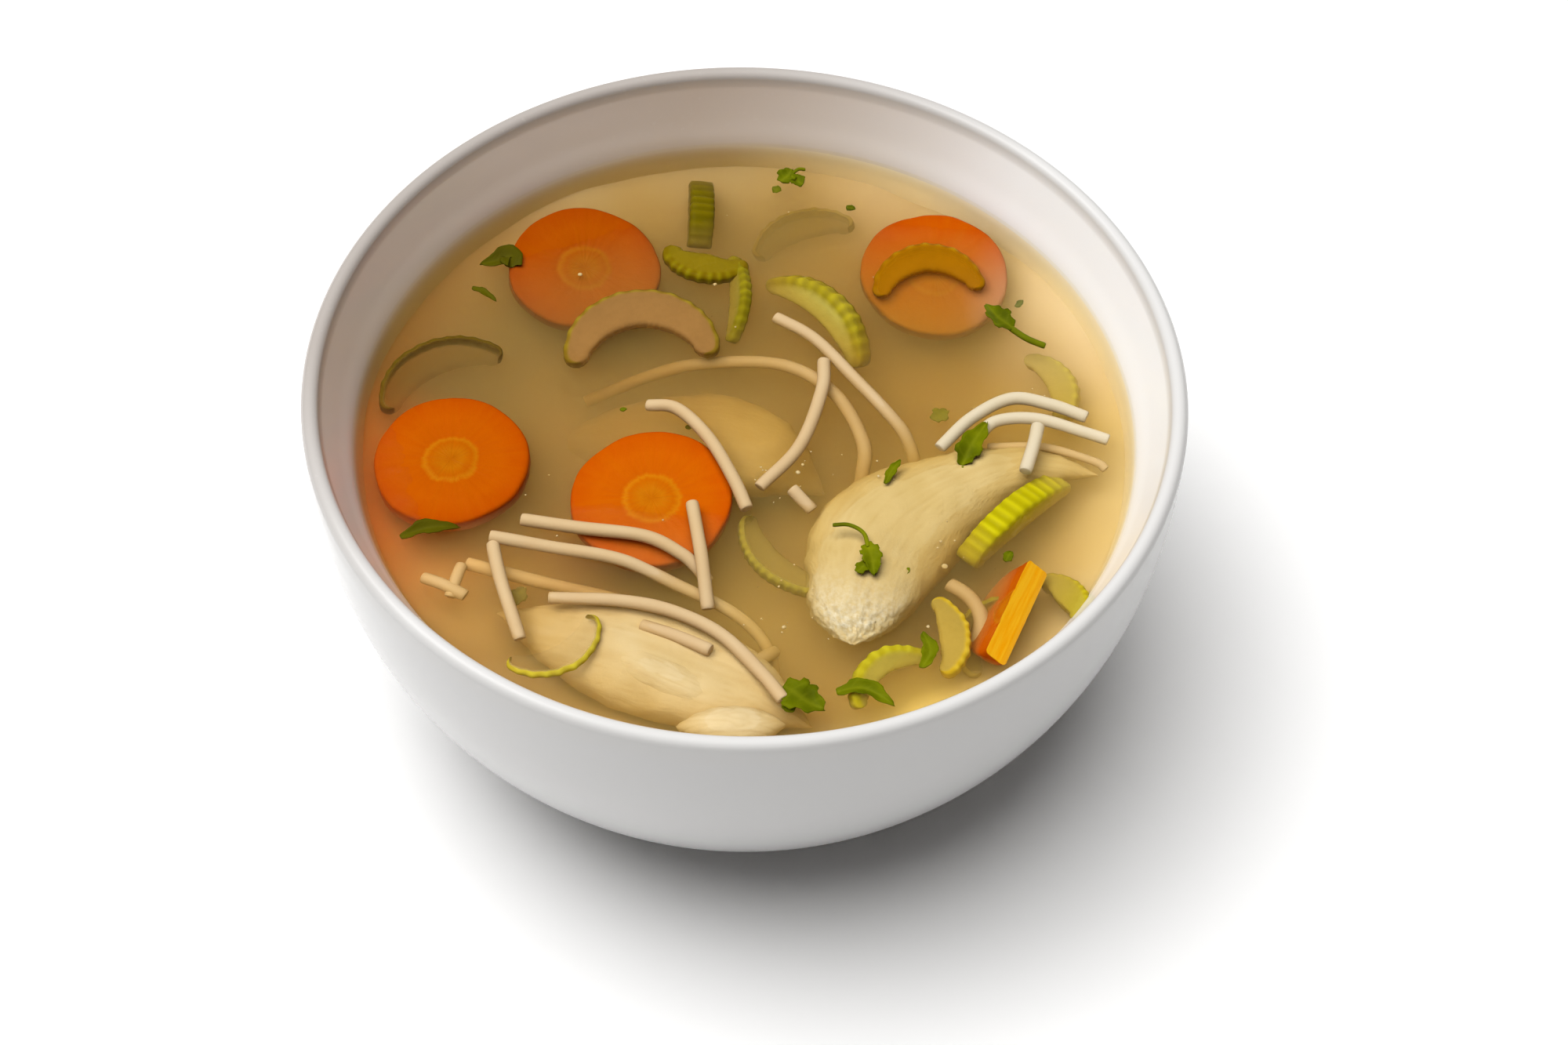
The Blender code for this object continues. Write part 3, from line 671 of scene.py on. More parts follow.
def chunk_shape(knots, lumps, seed, along=150, around=110, fibres=0.16, torn_end=None, blunt=3.0):
    verts, faces, fib, torn = [], [], [], []
    rings = []
    for i in range(along + 1):
        lat = -math.pi / 2 + math.pi * i / along
        uz, size = math.sin(lat), math.cos(lat)
        t = 0.5 + 0.5 * lat / (math.pi / 2)
        t = 0.5 - 0.5 * math.cos(math.pi * t) * 0.55 + (t - 0.5) * 0.45
        x, y, top, half, deep = catmull(knots, t)
        x1, y1 = catmull(knots, min(1.0, t + 0.02))[:2]
        x0, y0 = catmull(knots, max(0.0, t - 0.02))[:2]
        d = Vector((x1 - x0, y1 - y0, 0.0)).normalized()
        side = Vector((d.y, -d.x, 0.0))
        spread = max(0.0, 1.0 - abs(uz) ** (blunt if lat < 0 else 3.0)) ** 0.5
        mid = top - deep / 2.0
        pole = i in (0, along)
        ring = []
        for k in range(1 if pole else around):
            ang = math.tau * k / around
            ca, sa = math.cos(ang), math.sin(ang)
            flat = math.copysign(abs(sa) ** 0.8, sa)
            if pole:
                ca = flat = 0.0
            p = Vector((x, y, mid)) + side * (ca * half * spread) + Vector((0, 0, flat * deep / 2 * spread))
            a = noise(Vector((p.x * 0.16, p.y * 0.16, seed)))
            b = noise(Vector((p.x * 0.35, p.y * 0.35, p.z * 0.3 + seed)))
            p.z += lumps * a * (1.0 if sa > 0 else 0.5)
            p += side * (lumps * 0.8 * b * ca)
            across = ca * half * spread
            run = t * 40.0
            f1 = noise(Vector((across * 0.9, run * 0.10, seed + 2.0)))
            f2 = noise(Vector((across * 2.3, run * 0.22, seed + 5.0)))
            groove = max(0.0, 0.35 - abs(f1)) / 0.35
            out = (side * ca + Vector((0, 0, sa))).normalized() if not pole else d * uz
            rough_end = 0.0
            if torn_end is not None:
                rough_end = smoothstep(torn_end[1], torn_end[0], t) if torn_end[0] < torn_end[1] else smoothstep(torn_end[1], torn_end[0], t)
            amp = fibres * (1.0 + 1.6 * rough_end)
            p += out * (-amp * groove ** 2 + amp * 0.6 * f2)
            if rough_end > 0:
                g = noise(Vector((p.x * 0.9, p.y * 0.9, p.z * 0.9 + seed)))
                h = noise(Vector((p.x * 2.1, p.y * 2.1, p.z * 1.6 + seed)))
                p += out * rough_end * (0.55 * g + 0.30 * h)
            ring.append(len(verts))
            verts.append((p.x, p.y, p.z + LEVEL))
            fib.append(min(1.0, groove ** 2 * 0.8 + 0.3 * max(0.0, -f2)))
            torn.append(rough_end)
        rings.append(ring)
    for a, b in zip(rings, rings[1:]):
        for k in range(around):
            k2 = (k + 1) % around
            if len(a) == 1:
                faces.append((a[0], b[k2], b[k]))
            elif len(b) == 1:
                faces.append((a[k], a[k2], b[0]))
            else:
                faces.append((a[k], a[k2], b[k2], b[k]))
    return verts, faces, fib, torn


# ------------------------------------------------------------------ noodles
NOODLES = {
    "noodle_01": [(5.0, 26.3, -0.7), (12.0, 21.3, -0.6), (18.9, 12.6, -0.8), (24.2, 5.6, -1.0)],
    "noodle_02": [(13.6, 16.0, 0.0), (13.2, 8.8, 0.3), (9.4, -3.5, 0.2), (2.6, -12.2, -0.5)],
    "noodle_03": [(-17.0, 5.6, -0.6), (-11.8, 4.0, 0.7), (-6.3, -3.6, 2.5), (-1.9, -12.3, 2.4),
                  (0.6, -18.4, 1.6)],
    "noodle_04": [(-37.4, -20.4, 0.3), (-27.4, -22.4, 0.8), (-16.5, -24.2, 1.2), (-10.4, -27.4, 0.8)],
    "noodle_05": [(-42.5, -24.0, 0.2), (-32.6, -25.9, 0.0), (-20.0, -28.7, 0.3), (-10.3, -32.8, -1.9),
                  (-3.0, -36.4, -3.1)],
    "noodle_06": [(-41.6, -27.2, 0.0), (-40.2, -33.0, 0.2), (-38.0, -40.0, 0.0), (-36.4, -44.6, -0.9)],
    "noodle_07": [(-8.7, -17.5, 1.9), (-7.7, -23.8, 2.1), (-6.8, -29.5, 1.9), (-5.6, -38.0, -0.7)],
    "noodle_08": [(-32.1, -36.0, -0.9), (-20.3, -36.9, 0.0), (-11.4, -39.2, 0.4), (-3.3, -43.9, 0.5),
                  (3.2, -51.3, 0.5), (7.0, -56.6, 0.3)],
    "noodle_09": [(-16.6, -41.2, -1.1), (-11.0, -43.6, -0.4), (-5.0, -46.9, 0.2)],
    "noodle_10": [(33.4, -3.2, -0.2), (39.2, 3.4, 0.3), (46.1, 7.6, 0.5), (52.8, 6.4, 0.5),
                  (59.0, 3.9, 0.2)],
    "noodle_11": [(39.8, -0.4, -0.8), (43.4, 3.0, -0.2), (50.4, 3.5, 0.0), (58.5, 0.9, -0.3),
                  (62.6, -0.6, -0.5)],
    "noodle_12": [(50.3, 0.2, 2.5), (49.4, -4.0, 2.3), (47.8, -9.6, 1.9)],
    "noodle_13": [(8.1, -12.9, 0.4), (11.7, -16.6, -1.2)],
}
# strands that lie wholly in the broth: knots, radius
SUNK_NOODLES = [
    ([(-28.0, 12.2, -12.0), (-17.0, 16.4, -8.5), (-7.1, 17.6, -5.0), (6.6, 16.4, -3.0), (15.6, 9.8, -2.7),
      (20.4, -0.5, -3.2), (20.2, -7.0, -5.4), (19.6, -10.0, -7.6)], 1.2),
    ([(41.8, -1.6, -2.4), (51.3, -1.6, -2.0), (60.0, -4.6, -1.9), (62.0, -6.2, -2.2)], 0.8),
    ([(-46.4, -27.6, -4.0), (-34.0, -31.0, -4.4), (-20.0, -34.6, -5.0), (-8.0, -38.0, -6.0)], 1.2),
    ([(-53.4, -31.4, -2.6), (-49.6, -33.2, -2.0), (-46.0, -35.2, -2.4)], 1.1),
    ([(-47.0, -28.6, -2.6), (-47.8, -32.0, -2.0), (-48.6, -35.4, -2.6)], 1.0),
    ([(-22.6, -44.8, -3.0), (-12.0, -47.2, -2.4), (-4.0, -48.6, -2.2), (2.0, -47.4, -3.4), (5.6, -43.4, -6.6)], 1.2),
    ([(34.6, -30.6, -3.4), (38.0, -33.6, -3.0), (39.8, -38.0, -3.0), (39.0, -43.0, -3.8)], 1.3),
]


# where a strand goes on beyond its surface solid, into the broth or under another
BEYOND = {
    "noodle_01": [(27.2, 1.6, -2.2), (28.8, -1.6, -4.2), (29.4, -4.0, -6.6)],
    "noodle_05": [(1.6, -39.6, -4.6), (4.6, -43.6, -6.4), (5.4, -47.0, -8.6)],
    "noodle_04": [(-7.6, -29.6, -0.4), (-5.6, -31.6, -2.2)],
}
BEFORE = {
    "noodle_06": [(-41.9, -25.2, -0.4)],
}


def noodle_material(name, base, pale):
    n = Nodes(name)
    broad = n.noise(120.0, 2.0)
    fine = n.noise(1800.0, 3.0, 0.6)
    core = n.attr("side")                 # the rounded flanks are given a darker, yellower colour
    colour = n.mix(broad, base, pale)
    colour = n.mix(n.math("MULTIPLY", core, 0.5), colour, tuple(c * k for c, k in zip(base, (0.86, 0.78, 0.62))))
    colour = n.mix(n.math("MULTIPLY", n.ramp(fine, [(0.5, 0.0), (0.8, 1.0)]), 0.2), colour, pale)
    colour, depth = under_broth(n, colour)
    n.principled(colour, n.math("MULTIPLY_ADD", broad, 0.15, 0.25), n.bump(fine, 0.12, 0.0002), Specular_IOR_Level=0.05)
    return n.mat


def tube(knots, radius, seed, sides=20, step=0.6, flat=0.06):
    length = sum(math.dist(a, b) for a, b in zip(knots, knots[1:]))
    count = max(8, int(length / step))
    path = [Vector(catmull(knots, i / count)) for i in range(count + 1)]
    verts, faces, flank = [], [], []
    first = (path[1] - path[0]).normalized()
    last = (path[-1] - path[-2]).normalized()
    rows = [(path[0] + first * 0.0, first, 0.80), (path[0] + first * 0.10, first, 0.93)]
    for i in range(1, count):
        d = (path[i + 1] - path[i - 1]).normalized()
        rows.append((path[i], d, 1.0))
    rows += [(path[-1] - last * 0.10, last, 0.93), (path[-1], last, 0.80)]
    rings = []
    for q, (p, d, scale) in enumerate(rows):
        side = Vector((d.y, -d.x, 0.0))
        side = side.normalized() if side.length > 1e-5 else Vector((1, 0, 0))
        up = side.cross(d).normalized()
        if up.z < 0:
            up = -up
        r = radius * scale * (1 + 0.045 * noise(Vector((q * step * 0.16, seed, 0.0))))
        ring = []
        for k in range(sides):
            a = math.tau * k / sides
            rr = r * (1 + 0.025 * noise(Vector((math.cos(a) * 1.5, math.sin(a) * 1.5 + seed, q * step * 0.12))))
            v = p + side * (rr * (1 + flat) * math.cos(a)) + up * (rr * (1 - flat) * math.sin(a))
            ring.append(len(verts))
            verts.append((v.x, v.y, v.z + LEVEL))
            flank.append(abs(math.cos(a)) ** 2)
        rings.append(ring)
    for a, b in zip(rings, rings[1:]):
        for k in range(sides):
            k2 = (k + 1) % sides
            faces.append((a[k], a[k2], b[k2], b[k]))
    for ring, p, d in ((rings[0], rows[0][0], -first), (rings[-1], rows[-1][0], last)):
        c = p - d * 0.10
        verts.append((c.x, c.y, c.z + LEVEL))
        flank.append(0.3)
        m = len(verts) - 1
        for k in range(sides):
            k2 = (k + 1) % sides
            faces.append((ring[k2], ring[k], m) if ring is rings[0] else (ring[k], ring[k2], m))
    return verts, faces, flank


def join(shapes):
    """Several (verts, faces, value...) as one."""
    out = [[] for _ in shapes[0]]
    for s in shapes:
        base = len(out[0])
        out[0] += s[0]
        out[1] += [tuple(i + base for i in f) for f in s[1]]
        for k in range(2, len(s)):
            out[k] += s[k]
    return out


# ------------------------------------------------------------------ herbs
# leaves: path of (x, y, z) from stalk to tip, widest half width, lobes, fold, seed
LEAVES = [
    ([(5.7, 58.0, 0.2), (7.8, 60.8, 0.5)], 1.7, 3, 0.2, 1),
    ([(9.9, 57.6, 0.1), (7.6, 59.4, 0.4)], 1.4, 2, 0.3, 2),
    ([(4.2, 56.9, -0.6), (5.9, 56.5, -0.5)], 0.9, 2, 0.1, 3),
    ([(17.6, 52.4, -0.2), (19.3, 51.9, 0.0)], 0.7, 2, 0.2, 4),
    ([(-42.0, 36.4, 0.1), (-42.2, 38.4, 0.6), (-47.4, 36.8, 0.2)], 2.2, 3, 0.25, 5),
    ([(-48.7, 31.4, 0.0), (-46.6, 30.2, 0.3), (-44.2, 28.4, 0.0)], 0.65, 3, 0.4, 6),
    ([(46.8, 23.4, 0.6), (44.4, 25.8, 0.8), (42.2, 29.2, 0.4)], 1.9, 4, 0.35, 7),
    ([(47.6, 29.6, -0.9), (48.9, 31.2, -0.8)], 0.6, 2, 0.1, 8),
    ([(32.4, 4.4, -2.6), (35.2, 6.4, -2.4)], 1.5, 3, 0.2, 9),
    ([(37.2, -7.2, 0.3), (38.6, -4.0, 0.9), (41.6, 1.8, 1.0)], 2.1, 4, 0.5, 10),
    ([(24.0, -11.9, 0.9), (25.2, -9.1, 1.1), (26.7, -6.7, 0.9)], 0.8, 4, 0.2, 11),
    ([(20.6, -26.6, 3.2), (21.4, -29.4, 3.4), (21.9, -33.2, 3.4)], 1.7, 5, 0.4, 12),
    ([(19.0, -32.6, 3.2), (20.6, -30.6, 3.4)], 1.1, 3, 0.2, 13),
    ([(26.6, -31.0, 0.6), (27.8, -29.6, 0.7)], 0.6, 2, 0.1, 14),
    ([(-57.4, -24.6, 0.0), (-53.1, -22.9, 0.5), (-47.6, -22.3, 0.2)], 1.35, 3, 0.45, 15),
    ([(-38.6, -36.6, -2.8), (-36.2, -33.2, -2.6)], 1.5, 3, 0.2, 16),
    ([(44.0, -27.6, 0.3), (45.0, -25.6, 0.4)], 0.9, 2, 0.2, 17),
    ([(7.0, -53.6, 0.3), (9.8, -56.2, 0.8), (13.6, -58.2, 0.4)], 3.1, 4, 0.25, 18),
    ([(7.2, -58.6, 0.1), (9.4, -56.4, 0.5)], 1.4, 2, 0.2, 19),
    ([(15.6, -55.0, 0.2), (20.2, -54.6, 0.9), (25.0, -57.4, 0.3)], 1.5, 4, 0.45, 20),
    ([(29.6, -50.0, 0.5), (30.9, -46.8, 1.0), (29.8, -42.8, 0.6)], 1.3, 3, 0.4, 21),
    ([(-21.6, 4.0, 0.0), (-20.4, 4.2, 0.1)], 0.4, 1, 0.1, 22),
    ([(-10.2, 1.0, -1.5), (-8.9, 1.6, -1.4)], 0.5, 1, 0.1, 23),
]
STEMS = [
    ([(46.4, 23.8, 0.5), (49.2, 21.2, 0.7), (52.4, 19.8, 0.4)], 0.55),
    ([(15.0, -22.6, 3.0), (17.7, -22.9, 3.5), (20.1, -24.6, 3.6), (20.9, -27.4, 3.4)], 0.33),
    ([(7.8, 60.0, 0.3), (9.0, 60.9, 0.6), (10.2, 61.1, 0.3)], 0.30),
    ([(37.4, -7.4, 0.2), (36.8, -9.2, -0.2)], 0.30),
]


def leaf_shape(path, width, lobes, fold, seed):
    """A closed thin leaf along its path, lobed at its edges and folded along its rib."""
    nu, nv = 22, 8
    rnd = random.Random(seed)
    lean = rnd.uniform(-0.12, 0.12)
    thick = 0.16
    verts, faces, vein = [], [], []
    top, low = [], []
    for i in range(nu + 1):
        u = i / nu
        p = Vector(catmull(path, u))
        q = Vector(catmull(path, min(1.0, u + 0.03))) - Vector(catmull(path, max(0.0, u - 0.03)))
        d = Vector((q.x, q.y, 0.0)).normalized()
        side = Vector((-d.y, d.x, 0.0))
        w = width * max(0.06, math.sin(math.pi * min(1.0, u * 0.94 + 0.06)) ** 0.65)
        row_t, row_l = [], []
        for j in range(nv + 1):
            v = -1 + 2 * j / nv
            phase = rnd.uniform(0, 0.001) + (0.35 if v > 0 else 0.0)
            cut = 1 + 0.13 * math.sin(math.tau * (u * lobes * 0.7 + phase)) * abs(v) ** 1.5 \
                + 0.045 * math.sin(math.tau * (u * lobes * 2.1 + phase * 3 + seed)) * abs(v) ** 2
            shift = 0.28 * width * math.sin(math.tau * (u * lobes + phase + 0.2)) * abs(v) ** 2 * 0.4
            bend = fold * w * abs(v) ** 1.3 + 0.10 * width * math.sin(u * 7 + seed + v * 2)
            c = p + side * (v * w * cut + lean * w) + d * shift + Vector((0, 0, bend))
            rib = math.exp(-abs(v) * 6)
            side_rib = max(0.0, math.cos(math.pi * (u * lobes * 2 - abs(v) * 1.2))) ** 8
            dz = 0.03 * rib - 0.02 * side_rib
            row_t.append(len(verts)); verts.append((c.x, c.y, c.z + dz + thick / 2 + LEVEL)); vein.append(min(1, rib + 0.5 * side_rib))
            row_l.append(len(verts)); verts.append((c.x, c.y, c.z - thick / 2 + LEVEL)); vein.append(min(1, rib))
        top.append(row_t)
        low.append(row_l)
    for i in range(nu):
        for j in range(nv):
            faces.append((top[i][j], top[i + 1][j], top[i + 1][j + 1], top[i][j + 1]))
            faces.append((low[i][j], low[i][j + 1], low[i + 1][j + 1], low[i + 1][j]))
    for i in range(nu):
        faces.append((top[i][0], low[i][0], low[i + 1][0], top[i + 1][0]))
        faces.append((top[i][nv], top[i + 1][nv], low[i + 1][nv], low[i][nv]))
    for j in range(nv):
        faces.append((top[0][j], top[0][j + 1], low[0][j + 1], low[0][j]))
        faces.append((top[nu][j], low[nu][j], low[nu][j + 1], top[nu][j + 1]))
    return verts, faces, vein


def herb_material():
    n = Nodes("parsley")
    vein = n.attr("vein")
    patch = n.noise(140.0, 2.0)
    fine = n.noise(2200.0, 3.0)
    colour = n.ramp(patch, [(0.30, seen(76, 84, 2)), (0.50, seen(106, 116, 3)), (0.72, seen(140, 146, 6))])
    colour = n.mix(n.math("MULTIPLY", vein, 0.40), colour, seen(156, 160, 30))
    x = n.xyz(n.position())[0]
    leaf_shade_left = n.ramp(n.math("MULTIPLY", x, -10.0), [(0.26, 0.0), (0.42, 0.75)])
    colour = n.mix(leaf_shade_left, colour, seen(84, 70, 8))          # painted shade: the flakes on the left, which lie in shade, are coloured browner
    colour = n.mix(n.math("MULTIPLY", fine, 0.25), colour, seen(70, 76, 2))
    colour, depth = under_broth(n, colour)
    n.principled(colour, 0.40, n.bump(fine, 0.25, 0.0002), Specular_IOR_Level=0.04)
    return n.mat


# ------------------------------------------------------------------ broth
def broth_material():
    n = Nodes("clear_broth")
    glass = n.new("ShaderNodeBsdfGlass")
    glass.inputs["Color"].default_value = (0.995, 0.985, 0.95, 1.0)
    glass.inputs["Roughness"].default_value = 0.06
    glass.inputs["IOR"].default_value = 1.333
    ripple = n.noise(140.0, 2.0, 0.5)
    n.link(n.bump(ripple, 0.05, 0.0004), glass.inputs["Normal"])
    clear = n.new("ShaderNodeBsdfTransparent")
    clear.inputs["Color"].default_value = (0.97, 0.95, 0.90, 1.0)
    path = n.new("ShaderNodeLightPath")
    inner = n.new("ShaderNodeMixShader")
    n.link(path.outputs["Is Diffuse Ray"], inner.inputs[0])
    n.link(glass.outputs[0], inner.inputs[1])
    n.link(clear.outputs[0], inner.inputs[2])
    outer = n.new("ShaderNodeMixShader")
    n.link(path.outputs["Is Shadow Ray"], outer.inputs[0])
    n.link(inner.outputs[0], outer.inputs[1])
    n.link(clear.outputs[0], outer.inputs[2])
    n.link(outer.outputs[0], n.out.inputs["Surface"])
    # fat droplets and fine solids: they scatter, and take the blue out of the light
    scatter = n.new("ShaderNodeVolumeScatter")
    scatter.inputs["Color"].default_value = (0.985, 0.87, 0.38, 1.0)
    scatter.inputs["Density"].default_value = 60.0
    scatter.inputs["Anisotropy"].default_value = 0.5
    absorb = n.new("ShaderNodeVolumeAbsorption")
    absorb.inputs["Color"].default_value = (0.87, 0.58, 0.0, 1.0)
    absorb.inputs["Density"].default_value = 30.0
    both = n.new("ShaderNodeAddShader")
    n.link(scatter.outputs[0], both.inputs[0])
    n.link(absorb.outputs[0], both.inputs[1])
    n.link(both.outputs[0], n.out.inputs["Volume"])
    return n.mat


def core_material():
    n = Nodes("broth_depths")
    cloud = n.noise(38.0, 3.0, 0.5)
    wisps = n.noise(120.0, 3.0, 0.6, distort=0.6)
    colour = n.mix(cloud, (0.78, 0.76, 0.74), (0.82, 0.80, 0.78))
    colour = n.mix(n.math("MULTIPLY", n.ramp(wisps, [(0.5, 0.0), (0.8, 1.0)]), 0.18), colour, (0.86, 0.85, 0.82))
    depths_shade_left = n.ramp(n.math("MULTIPLY_ADD", n.xyz(n.position())[0], -10.0, 0.0), [(0.30, 0.0), (0.60, 1.0)])
    colour = n.mix(depths_shade_left, colour, seen(206, 112, 34))      # painted shade: the left side, which lies in shade, coloured a darker orange-brown
    colour, depth = under_broth(n, colour, WALL_FADE)
    n.principled(colour, 0.9, n.bump(wisps, 0.1, 0.001), Specular_IOR_Level=0.1)
    return n.mat


def water_line(objects):
    """Points every 0.3 mm where the pieces' meshes cross the broth's level, in mm."""
    pts = []
    for ob in objects:
        me = ob.data
        mw = ob.matrix_world
        co = [mw @ v.co for v in me.vertices]
        z0 = LEVEL * MM
        for poly in me.polygons:
            vs = poly.vertices
            crossing = []
            for a, b in zip(vs, list(vs[1:]) + [vs[0]]):
                za, zb = co[a].z - z0, co[b].z - z0
                if (za > 0) != (zb > 0):
                    f = za / (za - zb)
                    p = co[a].lerp(co[b], f)
                    crossing.append((p.x / MM, p.y / MM))
            if len(crossing) == 2:
                (x0, y0), (x1, y1) = crossing
                m = max(1, int(math.hypot(x1 - x0, y1 - y0) / 0.3))
                for k in range(m + 1):
                    pts.append((x0 + (x1 - x0) * k / m, y0 + (y1 - y0) * k / m))
    return pts


def build_broth(floating):
    marks = water_line(floating)
    tree = KDTree(len(marks))
    for i, (x, y) in enumerate(marks):
        tree.insert((x, y, 0.0), i)
    tree.balance()
    n = 272
    edge = WALL_AT_LEVEL + 0.75
    verts, index = [], {}

    def disc(u, v):
        if u == 0 and v == 0:
            return 0.0, 0.0
        if abs(u) > abs(v):
            r, a = u, math.pi / 4 * (v / u)
        else:
            r, a = v, math.pi / 2 - math.pi / 4 * (u / v)
        return r * math.cos(a) * edge, r * math.sin(a) * edge

    def height(x, y):
        r = math.hypot(x, y)
        h = 0.55 * math.exp(-max(0.0, WALL_AT_LEVEL + 0.25 - r) / 1.6)
        if r < WALL_AT_LEVEL - 0.5:
            co, i, d = tree.find((x, y, 0.0))
            h += 0.07 * math.exp(-(d / 1.2) ** 1.5)
        h += 0.035 * noise(Vector((x * 0.07, y * 0.07, 3.3)))
        return h

    for i in range(n + 1):
        for j in range(n + 1):
            x, y = disc(-1 + 2 * i / n, -1 + 2 * j / n)
            index[i, j] = len(verts)
            verts.append((x, y, LEVEL + height(x, y)))
    faces = [(index[i, j], index[i + 1, j], index[i + 1, j + 1], index[i, j + 1]) for i in range(n) for j in range(n)]
    border = [(i, 0) for i in range(n)] + [(n, j) for j in range(n)] + [(i, n) for i in range(n, 0, -1)] \
        + [(0, j) for j in range(n, 0, -1)]
    prev = [index[p] for p in border]
    shell = [(edge - 0.2, LEVEL - 1.0)] + [(r + 0.45, HEIGHT - d) for d, r in INNER[3:-1]]
    for r, z in shell:
        cur = []
        for q in prev:
            x, y = verts[q][0], verts[q][1]
            a = math.atan2(y, x)
            cur.append(len(verts))
            verts.append((r * math.cos(a), r * math.sin(a), z - 0.3))
        m = len(prev)
        for k in range(m):
            k2 = (k + 1) % m
            faces.append((prev[k], cur[k], cur[k2], prev[k2]))
        prev = cur
    verts.append((0.0, 0.0, HEIGHT - 62.7 - 0.45))
    m = len(prev)
    for k in range(m):
        faces.append((prev[k], len(verts) - 1, prev[(k + 1) % m]))
    piece("broth_surface", verts, faces, broth_material(), ("broth",))


def build_core():
    """The cloudy depths of the broth, a soft body well under the surface."""
    top = LEVEL - 15.0
    segs, rings = 160, 60
    radius = 66.8
    verts, faces = [(0.0, 0.0, top + 1.0)], []
    rows = []
    for i in range(1, rings + 1):
        f = i / rings
        row = []
        for k in range(segs):
            a = math.tau * k / segs
            r = radius * f
            x, y = r * math.cos(a), r * math.sin(a)
            z = top + 1.6 * noise(Vector((x * 0.045, y * 0.045, 1.0))) + 0.5 * noise(Vector((x * 0.12, y * 0.12, 4.0)))
            z += 8.5 * smoothstep(0.62, 1.04, f)
            row.append(len(verts))
            verts.append((x, y, z))
        rows.append(row)
    for k in range(segs):
        faces.append((0, rows[0][k], rows[0][(k + 1) % segs]))
    low = [(d, r) for d, r in INNER[5:-1]]
    for d, r in low:
        row = []
        for k in range(segs):
            a = math.tau * k / segs
            row.append(len(verts))
            verts.append(((r + 0.35) * math.cos(a), (r + 0.35) * math.sin(a), HEIGHT - d))
        rows.append(row)
    for a, b in zip(rows, rows[1:]):
        for k in range(segs):
            k2 = (k + 1) % segs
            faces.append((a[k], b[k], b[k2], a[k2]))
    verts.append((0.0, 0.0, 7.9))
    for k in range(segs):
        faces.append((rows[-1][k], len(verts) - 1, rows[-1][(k + 1) % segs]))
    piece("broth_depths", verts, faces, core_material())


# ------------------------------------------------------------------ make it all
build_bowl()
floating = []
for name, row in CARROTS.items():
    floating.append(build_carrot(name, row))
x, y, z, tilt, toward, turn, radius, seed = HALF_CARROT
floating.append(build_carrot("carrot_slice_5", (x, y, z, tilt, toward, radius, seed), thick=4.2, half=True, turn=turn))

# how each slice shows: flesh, rib, between ribs, and how solid its flesh looks
LOOK = {
    "celery_slice_1": ((188, 138, 76), (178, 158, 30), (142, 114, 8), 0.72),
    "celery_slice_2": ((206, 134, 4), (200, 152, 8), (158, 98, 0), 0.60),
    "celery_slice_3": ((158, 134, 18), (166, 152, 16), (130, 104, 3), 0.80),
    "celery_slice_4": ((220, 202, 96), (210, 190, 10), (162, 142, 1), 0.94),
    "celery_slice_5": ((180, 154, 60), (172, 160, 10), (138, 124, 2), 0.86),
    "celery_slice_6": ((150, 114, 44), (120, 100, 12), (98, 78, 6), 0.15),
    "celery_slice_7": ((216, 200, 30), (250, 238, 24), (192, 180, 2), 0.96),
    "celery_slice_8": ((216, 186, 116), (240, 222, 40), (210, 188, 18), 0.05),
    "celery_slice_9": ((228, 204, 84), (226, 212, 36), (198, 180, 12), 0.60),
    "celery_slice_10": ((136, 112, 12), (140, 124, 6), (108, 96, 1), 0.82),
    "celery_slice_11": ((228, 192, 84), (244, 208, 60), (218, 178, 22), 0.60),
}
SHOWN = dict(CELERY)          # these lie a little otherwise than their simple solids
SHOWN["celery_slice_3"] = (-7.6, 39.0, 0.2, 8.0, 70, 166, 9.2, 54, 6.4, 9, 2.4)
SHOWN["celery_slice_10"] = (-11.2, 51.6, -5.2, 82.0, 180, -90, 12.0, 38, 4.5, 8, 4.4)
SHOWN["celery_slice_5"] = (-5.6, 31.0, -4.4, 50.0, 180, -90, 15.6, 37, 4.2, 10, 2.2)
for k, (name, row) in enumerate(SHOWN.items(), 1):
    floating.append(build_celery(name, row, celery_material(name.replace("slice", "look"), *LOOK[name]), k * 3.7))
# slices that lie wholly in the broth
SUNK_CELERY = {
    "celery_sunk_1": (8.2, -24.8, -2.2, 8.0, 45, 135, 13.5, 52, 5.0, 15, 2.6),
    "celery_sunk_2": (53.0, -34.0, -1.2, 24.0, 150, -60, 8.5, 50, 5.0, 9, 3.4),
    "celery_sunk_3": (9.6, 50.0, -7.0, 10.0, 200, 20, 11.0, 58, 6.0, 10, 3.0),
    "celery_sunk_4": (53.0, 13.0, -3.4, 20.0, 200, -70, 9.0, 60, 5.0, 9, 3.0),
    "celery_sunk_6": (40.0, -41.0, -3.6, 16.0, 250, 70, 9.0, 58, 5.0, 9, 3.0),
}
SUNK_LOOK = celery_material("celery_look_sunk", (186, 164, 74), (196, 182, 24), (150, 134, 4), 0.30)
EDGE_LOOK = celery_material("celery_look_edge", (212, 190, 62), (230, 214, 20), (192, 172, 8), 0.80)
for k, (name, row) in enumerate(SUNK_CELERY.items(), 1):
    build_celery(name, row, EDGE_LOOK if name in ("celery_sunk_2", "celery_sunk_4") else SUNK_LOOK, 50 + k * 2.3)

